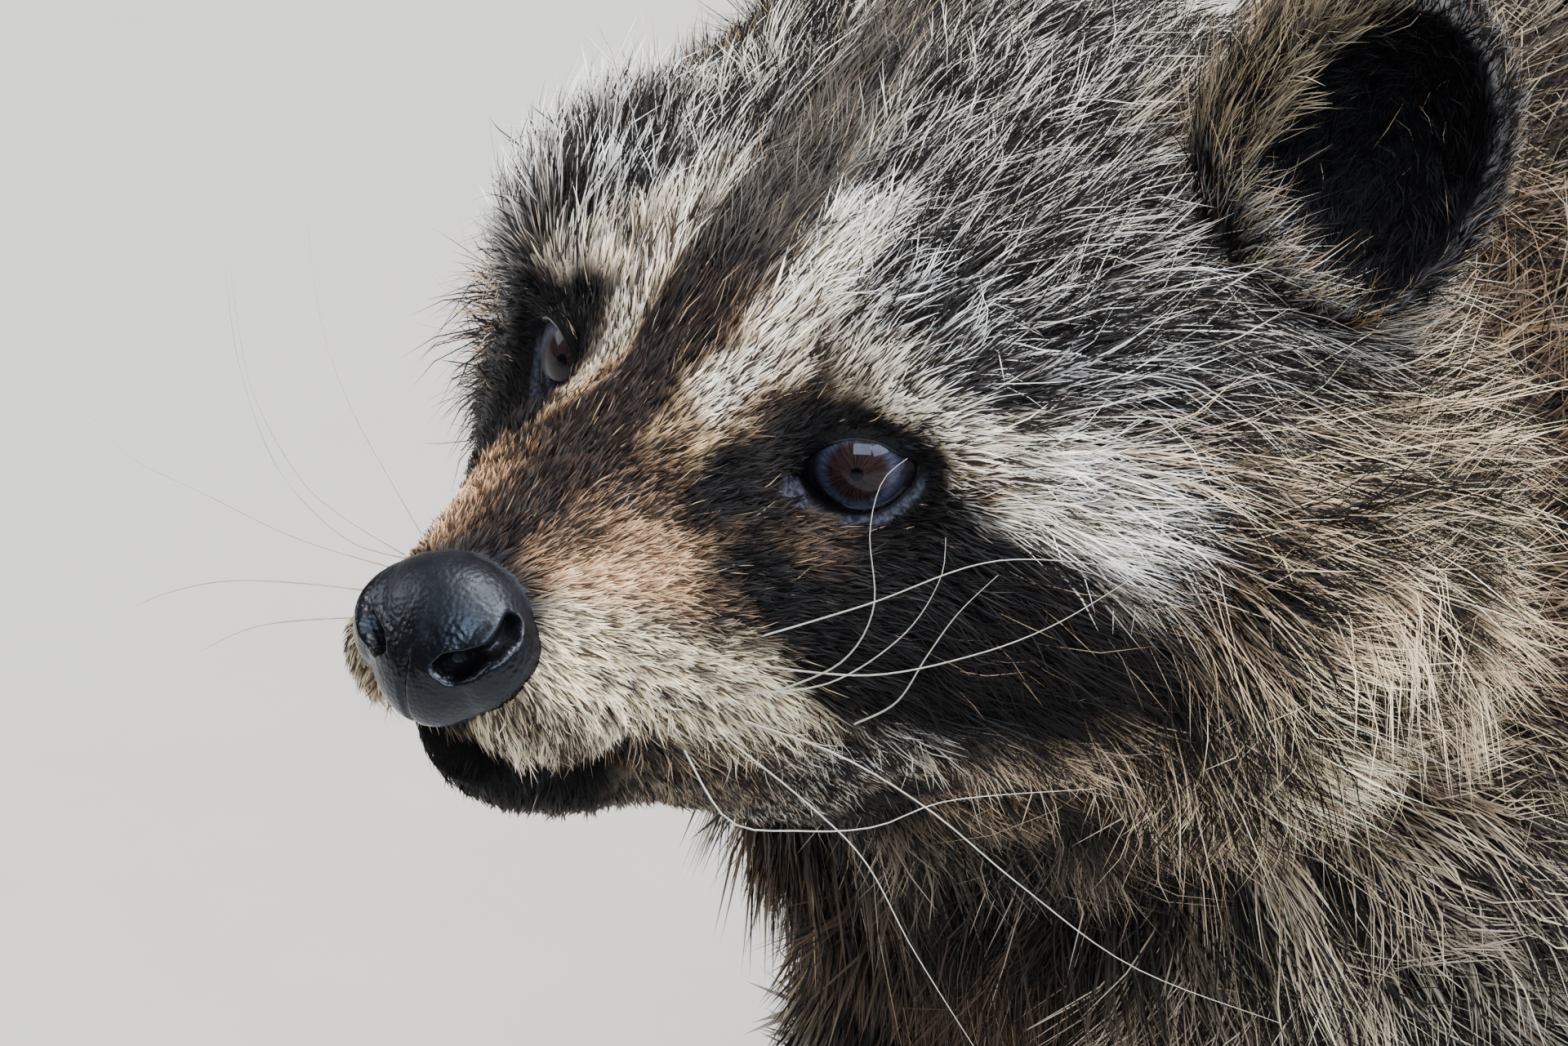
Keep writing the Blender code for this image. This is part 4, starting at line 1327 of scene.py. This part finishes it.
def hairStops(style, rows, light, darkHair, paleHair, steps):
    # each hair's colour at its stations
    rootTint, midTint, tipTint = (rows[:, i:i + 3] * light for i in (0, 3, 6))
    midTint = np.where(darkHair, rootTint * 1.1, midTint)
    tipTint = np.where(darkHair, rootTint * 1.5, tipTint)
    pale = linear(paleHairs["tint"])
    midTint = np.where(paleHair, pale * 0.7, midTint)
    tipTint = np.where(paleHair, pale, tipTint)
    stops = []
    for t in steps:
        low = ease(t, 0.05, 0.55)
        high = ease(t, *style.get("tipFrom", (0.5, 0.92)))
        stops.append(mixed(mixed(rootTint, midTint, low), tipTint, high))
    return np.stack(stops, 1)


def growCoat(name, weight, count, style, seed, lieField=None):
    random = np.random.default_rng(seed)
    face, part = scatter(random, weight, count)

    def at(field):
        return (field[tris[face]] * part.reshape(count, 3, *[1] * (field.ndim - 1))).sum(1)

    root = at(skinPoints)
    normal = unit(at(rootNormals))
    lie = at(flow if lieField is None else lieField)
    lie = unit(lie - dots(lie, normal) * normal)
    locks = max(8, count // style["perLock"] * (1))
    heads, lock = gatherLocks(random, root, locks)
    lockTurn, lockLong, lockLift, lockLight = random.normal(0, 1, (4, len(heads)))[:, lock]
    length = style["length"] if "length" in style else at(lengths) * style.get("longer", 1)
    length = length * np.exp(0.12 * lockLong + 0.16 * random.normal(0, 1, count))
    line = comb(random, style, root, length, lie, normal, lockTurn, lockLift)
    steps = np.linspace(0, 1, style["stations"])
    pull = (style["clump"] * steps ** 1.4)[None, :, None]
    line = line + (line[heads[lock]] - line) * pull * random.uniform(0.55, 1, (count, 1, 1))
    across = acrossHairs(random, line, normal)
    width = style["width"] * np.exp(0.22 * random.normal(0, 1, count))

    chance = random.random(count)
    lockChance = random.random(len(heads))[lock]
    chance = np.where(random.random(count) < style.get("together", 0), lockChance, chance)
    seenAt = at(outerPoints) + lie * (0.5 * length)[:, None]
    rows = hairColour(seenAt, at(shares), normal, at(earPlace))
    darkHair = (chance < rows[:, 9])[:, None]
    paleHair = (random.random(count) < rows[:, 10])[:, None]
    width = np.where(paleHair[:, 0], paleHairs["width"] * width, width)
    reach = np.where(paleHair[:, :, None], paleHairs["longer"], 1)
    line = root[:, None] + reach * (line - root[:, None])
    half = 0.5 * width[:, None, None] * np.interp(steps, *style.get("shape", hairShape))[None, :, None]
    body = style["stations"] - 1
    pairs = np.stack([line - across * half, line + across * half], 2)[:, :body]
    verts = np.concatenate([pairs.reshape(count, body * 2, 3), line[:, -1:]], 1)
    faces = stripFaces(count, body)

    if "tint" in style:
        rows = rows * 0 + tintRows[style["tint"]]
    rows[:, 6:9] = mixed(rows[:, 3:6], rows[:, 6:9], style.get("tip", 1.0))
    light = np.exp(style.get("vary", 0.12) * lockLight + 0.14 * random.normal(0, 1, count))[:, None]
    stops = hairStops(style, rows, light, darkHair, paleHair, steps)
    colour = np.concatenate([np.repeat(stops[:, :body], 2, axis=1), stops[:, -1:]], 1)
    mesh = meshFrom(name, verts.reshape(-1, 3), faces)
    give(mesh, "coat", np.clip(colour, 0, 0.95).reshape(-1, 3), "FLOAT_COLOR")
    spread = np.zeros((2 * body + 1, 2))
    spread[:-1, 0] = np.tile((-0.5, 0.5), body)
    spread[:-1, 1] = np.repeat(steps[:body], 2) - 0.5
    spread[-1, 1] = 0.5
    mapRoot = (cornerMap[face] * part[:, :, None]).sum(1)
    vertMap = (mapRoot[:, None] + spread * patchSize).reshape(-1, 2)
    giveMap(mesh, vertMap[faces.ravel()])
    say(f"{name}: {count} hairs, {len(faces)} triangles")
    return shown(name, mesh, hair)


# where no hair grows
padHeight = ease(outerPoints[:, 2], 1.5, 5) * ease(outerNormals[:, 2], -0.9, -0.3)
pawOnly = share("forepaw", "hindpaw")
grows = (1 - openings) * mixed(1, padHeight, pawOnly) * ease(noseReach(headPoints), 0.99, 1.04)
grows = grows * ease(noseReach(toHead(skinPoints)), 0.9, 0.97)
mouth = np.array(mouthLine, float)
mouthAway = np.abs(headPoints[:, 2] - np.interp(headPoints[:, 1], mouth[:, 0], mouth[:, 1]))
inMouth = (1 - ease(mouthAway, 0.4, 1.2)) * ease(14 - headPoints[:, 1], 0, 8)
lowerLip = ease(-headPoints[:, 2], 38.5, 39.5) * (1 - ease(-headPoints[:, 2], 45.5, 47.5))
lowerLip *= ease(-headPoints[:, 1] - 14, 0, 8)
grows = grows * (1 - share("head") * np.maximum(inMouth, 0.88 * lowerLip))

onHead = share("head")
faceOnly = onHead * (1 - ease(lengths, 6.0, 7.5))
restOfHead = onHead * ease(lengths, 6.0, 7.5)
leftSide = ease(headPoints[:, 0], -3, 3)
shortHair = ((0, 0.5, 1), (0.9, 1, 0))

styles = {
    # perLock is hairs to a lock, clump how far they lean to its leader; angles are in degrees
    "face": {
        "stations": 3, "perLock": 7, "clump": 0.3, "turn": 12, "curl": 16, "lift": (20, 8),
        "width": 0.215, "shape": shortHair,
    },
    "faceFar": {
        "stations": 3, "perLock": 7, "clump": 0.3, "turn": 9, "curl": 10, "lift": (13, 2),
        "width": 0.215, "shape": shortHair,
    },
    "under": {
        "stations": 3, "perLock": 14, "clump": 0.4, "turn": 14, "curl": 16, "lift": (34, 14),
        "width": 0.285, "shape": shortHair, "longer": 0.62, "tip": 0.12,
    },
    "crown": {
        "stations": 4, "perLock": 9, "clump": 0.5, "turn": 11, "curl": 30, "lift": (29, 2),
        "width": 0.17, "longer": 1.3, "vary": 0.18, "together": 0.6, "tipFrom": (0.4, 1.0),
    },
    "cheek": {
        "stations": 5, "perLock": 90, "clump": 0.7, "turn": 20, "curl": 56, "lift": (40, 0),
        "width": 0.18, "longer": 1.25, "vary": 0.28, "together": 0.75, "tipFrom": (0.35, 0.95),
    },
    "stray": {
        "stations": 5, "perLock": 2, "clump": 0.1, "turn": 16, "curl": 46, "lift": (32, 8),
        "width": 0.1, "longer": 1.35, "vary": 0.25, "tipFrom": (0.2, 0.8),
    },
    "ear": {
        "stations": 3, "perLock": 6, "clump": 0.2, "turn": 26, "curl": 36, "lift": (34, 16),
        "width": 0.17, "shape": shortHair,
    },
    "fringe": {
        "stations": 4, "perLock": 9, "clump": 0.4, "turn": 15, "curl": 34, "lift": (30, 2),
        "width": 0.15, "length": 10.5, "tint": "earFringe", "together": 0.6, "vary": 0.3,
    },
    "ruff": {
        "stations": 4, "perLock": 40, "clump": 0.68, "turn": 18, "curl": 48, "lift": (42, 6),
        "width": 0.235, "droop": 0.6, "vary": 0.3, "together": 0.6,
    },
    "nape": {
        "stations": 3, "perLock": 24, "clump": 0.6, "turn": 13, "curl": 22, "lift": (34, 8),
        "width": 0.49, "droop": 0.2, "shape": shortHair,
    },
    "trunk": {
        "stations": 3, "perLock": 12, "clump": 0.5, "turn": 12, "curl": 22, "lift": (26, 5),
        "width": 0.65, "droop": 0.12, "shape": shortHair,
    },
    "leg": {
        "stations": 3, "perLock": 10, "clump": 0.5, "turn": 10, "curl": 14, "lift": (26, 6),
        "width": 0.52, "shape": shortHair,
    },
    "paw": {
        "stations": 3, "perLock": 8, "clump": 0.35, "turn": 12, "curl": 10, "lift": (24, 6),
        "width": 0.36, "shape": shortHair,
    },
    "tail": {
        "stations": 3, "perLock": 12, "clump": 0.45, "turn": 9, "curl": 14, "lift": (28, 8),
        "width": 0.62, "shape": shortHair,
    },
}
cheekOnly = ease(headPoints[:, 1] + 0.4 * (headPoints[:, 0] - 45), 34, 50)
cheekOnly *= ease(8 - headPoints[:, 2], 0, 16) * leftSide
nearCrown = restOfHead * leftSide * (1 - 0.85 * cheekOnly)
trunkOnly = share("trunk") * ease(share("trunk"), 0.3, 0.6)
coatPieces = [
    # name, where it grows, hairs, style and slot
    ("faceCoat_L", faceOnly * leftSide, 47000, "face", "coat_grey"),
    ("faceCoat_R", faceOnly * (1 - leftSide), 27000, "faceFar", "coat_grey"),
    ("underCoat", restOfHead * mixed(0.45, 1, leftSide), 38000, "under", "coat_grey"),
    ("headCoat_L", nearCrown, 38000, "crown", "coat_grey"),
    ("headCoat_M", nearCrown, 16000, "crown", "coat_grey"),
    ("cheekCoat", restOfHead * cheekOnly, 22000, "cheek", "coat_grey"),
    ("headCoat_R", restOfHead * (1 - leftSide), 27000, "crown", "coat_grey"),
    ("strayCoat", restOfHead * mixed(0.6, 1, leftSide), 2600, "stray", "coat_grey"),
    ("earCoat", share("ear"), 20000, "ear", "coat_dark"),
    ("neckCoat_L", share("neck") * leftSide, 31000, "ruff", "coat_grey"),
    ("neckCoat_R", share("neck") * (1 - leftSide), 19000, "nape", "coat_grey"),
    ("trunkCoat_L", trunkOnly * leftSide, 25000, "trunk", "coat_grey"),
    ("trunkCoat_R", trunkOnly * (1 - leftSide), 25000, "trunk", "coat_grey"),
    ("legCoat", share("foreleg", "hindleg"), 20000, "leg", "coat_dark"),
    ("pawCoat", share("forepaw", "hindpaw"), 13000, "paw", "coat_pale"),
    ("tailCoat", share("tail"), 15000, "tail", "coat_grey"),
]
for number, (name, weight, count, style, slot) in enumerate(coatPieces):
    growCoat(name, weight * grows, count, styles[style], 100 + number)

# long tufts in front of the ear and under it, which lie up over its cup
fringePlan = {
    "front": [(-16, -2, -20, 5), (-18, -2, -8, 5), (-18, -2, 4, 4.5), (-13, -2, 16, 3)],
    "base": [(-8, -6, -25, 4.5), (2, -6, -27, 4.5), (10, -4, -23, 4)],
    "way": (0.12, -0.1, 1.0),
}
fringeWay = earTurn() @ np.array(fringePlan["way"])
mirrored = np.where(headPoints[:, :1] > 0, (1, 1, 1), (-1, 1, 1))
fringeLie = unit((fringeWay * mirrored) @ headTurn.T)
fringeWeight = near(earPlace, fringePlan["front"], 3)
growCoat("earFringe", fringeWeight, 4200, styles["fringe"], 140, fringeLie)
tuftWeight = near(earPlace, fringePlan["base"], 3)
tufts = styles["fringe"] | {"tint": "earTuft", "length": 9}
growCoat("earTufts", tuftWeight, 1700, tufts, 141, fringeLie)

# whiskers are thin bent rods along smooth paths
whiskerPlan = {
    "thick": 0.145,  # radius at the root
    "taper": 0.8,
    "steps": 26,
    "near": [
        [(21, -15, -23), (35, -9, -14), (46, 1, -6), (56, 18, -6)],
        [(24, -13, -25), (38, -10, -22), (48, -4, -17), (54, 4, -12), (57, 16, -6)],
        [(26, -12, -28), (35, -12, -21), (38, -12, -13), (36, -13, -4), (35, -11, 2), (36, -8, 5)],
        [(24, -14, -32), (38, -13, -32), (51, -11, -35), (63, -7, -41), (77, 0, -48), (92, 12, -52)],
        [(22, -14, -35), (36, -16, -38), (47, -17, -42), (57, -18, -50), (70, -18, -60)],
        [(19, -18, -37), (28, -19, -43), (36, -16, -42), (43, -10, -40), (48, -2, -36), (57, 16, -34)],
        [(23, -13, -29), (34, -12, -24), (41, -9, -16), (44, -8, -8), (43, -7, -3)],
        [(31, 0, -32), (37, -1, -27), (40, -1, -20), (42, 1, -14), (44, 5, -9)],
    ],
    "far": [
        [(-13, -38, -20), (-18, -45, -18), (-26, -50, -11), (-32, -53, 0), (-36, -54, 11)],
        [(-14, -37, -20), (-21, -41, -17), (-28, -42, -14), (-37, -43, -5), (-45, -41, 8)],
        [(-14, -37, -22), (-26, -43, -21), (-39, -46, -19), (-49, -49, -17), (-56, -50, -13)],
        [(-16, -31, -19), (-22, -31, -14), (-31, -30, -7), (-39, -28, 1), (-47, -24, 12)],
        [(-18, -28, -28), (-30, -30, -30), (-44, -30, -34), (-56, -26, -40), (-66, -18, -46)],
        [(-19, -22, -32), (-32, -22, -36), (-46, -20, -42), (-58, -14, -50)],
    ],
}


def whiskerTree():
    tree = bpy.data.node_groups.new("whiskers", "GeometryNodeTree")
    inputs = {"Geometry": "Geometry", "Steps": "Int", "Root radius": "Float", "Taper": "Float",
              "Material": "Material"}
    for name, kind in inputs.items():
        tree.interface.new_socket(name, in_out="INPUT", socket_type=f"NodeSocket{kind}")
    tree.interface.new_socket("Geometry", in_out="OUTPUT", socket_type="NodeSocketGeometry")

    def node(kind, **settings):
        made = tree.nodes.new(kind)
        for key, value in settings.items():
            setattr(made, key, value)
        return made

    def link(a, b):
        tree.links.new(a, b)

    entry, leave = node("NodeGroupInput"), node("NodeGroupOutput")
    curve = node("GeometryNodeMeshToCurve")
    kind = node("GeometryNodeCurveSplineType", spline_type="CATMULL_ROM")
    steps = node("GeometryNodeResampleCurve")
    along = node("GeometryNodeSplineParameter")
    fade = node("ShaderNodeMath", operation="MULTIPLY")
    left = node("ShaderNodeMath", operation="SUBTRACT")
    radius = node("ShaderNodeMath", operation="MULTIPLY")
    setRadius = node("GeometryNodeSetCurveRadius")
    ring = node("GeometryNodeCurvePrimitiveCircle")
    ring.inputs["Resolution"].default_value = 5
    ring.inputs["Radius"].default_value = 1.0
    rod = node("GeometryNodeCurveToMesh")
    rod.inputs["Fill Caps"].default_value = True
    if "Scale" in rod.inputs:
        link(radius.outputs[0], rod.inputs["Scale"])
    smooth = node("GeometryNodeSetShadeSmooth")
    real = node("GeometryNodeRealizeInstances")
    paint = node("GeometryNodeSetMaterial")
    left.inputs[0].default_value = 1.0
    link(entry.outputs["Geometry"], curve.inputs[0])
    link(curve.outputs[0], kind.inputs["Curve"])
    link(kind.outputs[0], steps.inputs["Curve"])
    link(entry.outputs["Steps"], steps.inputs["Count"])
    link(along.outputs["Factor"], fade.inputs[0])
    link(entry.outputs["Taper"], fade.inputs[1])
    link(fade.outputs[0], left.inputs[1])
    link(left.outputs[0], radius.inputs[0])
    link(entry.outputs["Root radius"], radius.inputs[1])
    link(steps.outputs[0], setRadius.inputs["Curve"])
    link(radius.outputs[0], setRadius.inputs["Radius"])
    link(setRadius.outputs[0], rod.inputs["Curve"])
    link(ring.outputs[0], rod.inputs["Profile Curve"])
    link(rod.outputs[0], smooth.inputs[0])
    link(smooth.outputs[0], real.inputs[0])
    link(real.outputs[0], paint.inputs["Geometry"])
    link(entry.outputs["Material"], paint.inputs["Material"])
    link(paint.outputs[0], leave.inputs[0])
    return tree


def makeWhiskers(name, paths, tree, material):
    mesh = bpy.data.meshes.new(name)
    verts, sides = [], []
    for path in paths:
        start = len(verts)
        verts += [tuple(fromHead(p) * 0.001) for p in path]
        sides += [(start + i, start + i + 1) for i in range(len(path) - 1)]
    mesh.from_pydata(verts, sides, [])
    piece = bpy.data.objects.new(name, mesh)
    bpy.context.scene.collection.objects.link(piece)
    grown = piece.modifiers.new("grown", "NODES")
    grown.node_group = tree
    values = {"Steps": whiskerPlan["steps"], "Root radius": whiskerPlan["thick"] * 0.001,
              "Taper": whiskerPlan["taper"], "Material": material}
    for item in tree.interface.items_tree:
        if item.in_out == "INPUT" and item.name in values:
            grown[item.identifier] = values[item.name]
    applied(piece)
    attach(piece, "root")


tree, whiskerHorn = whiskerTree(), whiskerMaterial()
for name in ("near", "far"):
    makeWhiskers(f"whiskers_{name}", whiskerPlan[name], tree, whiskerHorn)
say("whiskers")

viewPlan = {
    "azimuth": 47.2,
    "elevation": 30.3,
    "distance": 1500,
    "aim": (10.05, -15.0),  # right of and above the head's origin
    "width": 193.73,  # of what is seen at the head
    "sensor": 36,
}


def makeCamera():
    turn, rise = math.radians(viewPlan["azimuth"]), math.radians(viewPlan["elevation"])
    back = Vector((math.sin(turn) * math.cos(rise), -math.cos(turn) * math.cos(rise), math.sin(rise)))
    right = Vector((math.cos(turn), math.sin(turn), 0))
    up = back.cross(right)
    aside, above = viewPlan["aim"]
    aim = Vector(headOrigin) + right * aside + up * above
    data = bpy.data.cameras.new("camera")
    data.sensor_width = viewPlan["sensor"]
    data.lens = viewPlan["sensor"] * viewPlan["distance"] / viewPlan["width"]
    data.clip_start = 0.05
    camera = bpy.data.objects.new("camera", data)
    bpy.context.scene.collection.objects.link(camera)
    camera.location = (aim + back * viewPlan["distance"]) * 0.001
    camera.rotation_mode = "QUATERNION"
    camera.rotation_quaternion = (-back).to_track_quat("-Z", "Y")
    bpy.context.scene.camera = camera


lightPlan = {
    # place, width, height, watts and colour, aimed at the head
    "sky": ((0.35, 0.3, 2.4), 1.5, 1.5, 198, (1.0, 0.975, 0.94)),
    "windowLeft": ((1.0, -1.36, 1.5), 1.2, 0.72, 45, (0.69, 0.82, 1.0)),
    "windowRight": ((1.66, -0.4, 1.42), 1.15, 0.75, 41, (0.69, 0.82, 1.0)),
    "far": ((-1.9, -1.4, 1.3), 1.2, 1.2, 24, (0.93, 0.96, 1.0)),
}
worldPlan = {"colour": (0.86, 0.92, 1.0, 1), "strength": 0.32}


def makeLights():
    for name, (place, wide, high, watts, colour) in lightPlan.items():
        data = bpy.data.lights.new(name, "AREA")
        data.shape = "RECTANGLE"
        data.size = wide
        data.size_y = high
        data.energy = watts
        data.color = colour
        lamp = bpy.data.objects.new(name, data)
        bpy.context.scene.collection.objects.link(lamp)
        lamp.location = place
        toward = Vector((0, -0.25, 0.2)) - lamp.location
        lamp.rotation_mode = "QUATERNION"
        lamp.rotation_quaternion = toward.to_track_quat("-Z", "Y")
    world = bpy.data.worlds.new("studio")
    world.use_nodes = True
    sky = world.node_tree.nodes["Background"]
    sky.inputs["Color"].default_value = worldPlan["colour"]
    sky.inputs["Strength"].default_value = worldPlan["strength"]
    bpy.context.scene.world = world


def makeFloor():
    floor = bmesh.new()
    bmesh.ops.create_grid(floor, x_segments=2, y_segments=2, size=6)
    mesh = bpy.data.meshes.new("floor")
    floor.to_mesh(mesh)
    floor.free()
    mesh.materials.append(floorMaterial())
    piece = bpy.data.objects.new("floor", mesh)
    bpy.context.scene.collection.objects.link(piece)


makeCamera()
makeLights()
makeFloor()
total = sum(len(o.data.polygons) for o in bpy.context.scene.objects if o.type == "MESH")
say(f"studio, {total} faces in all")
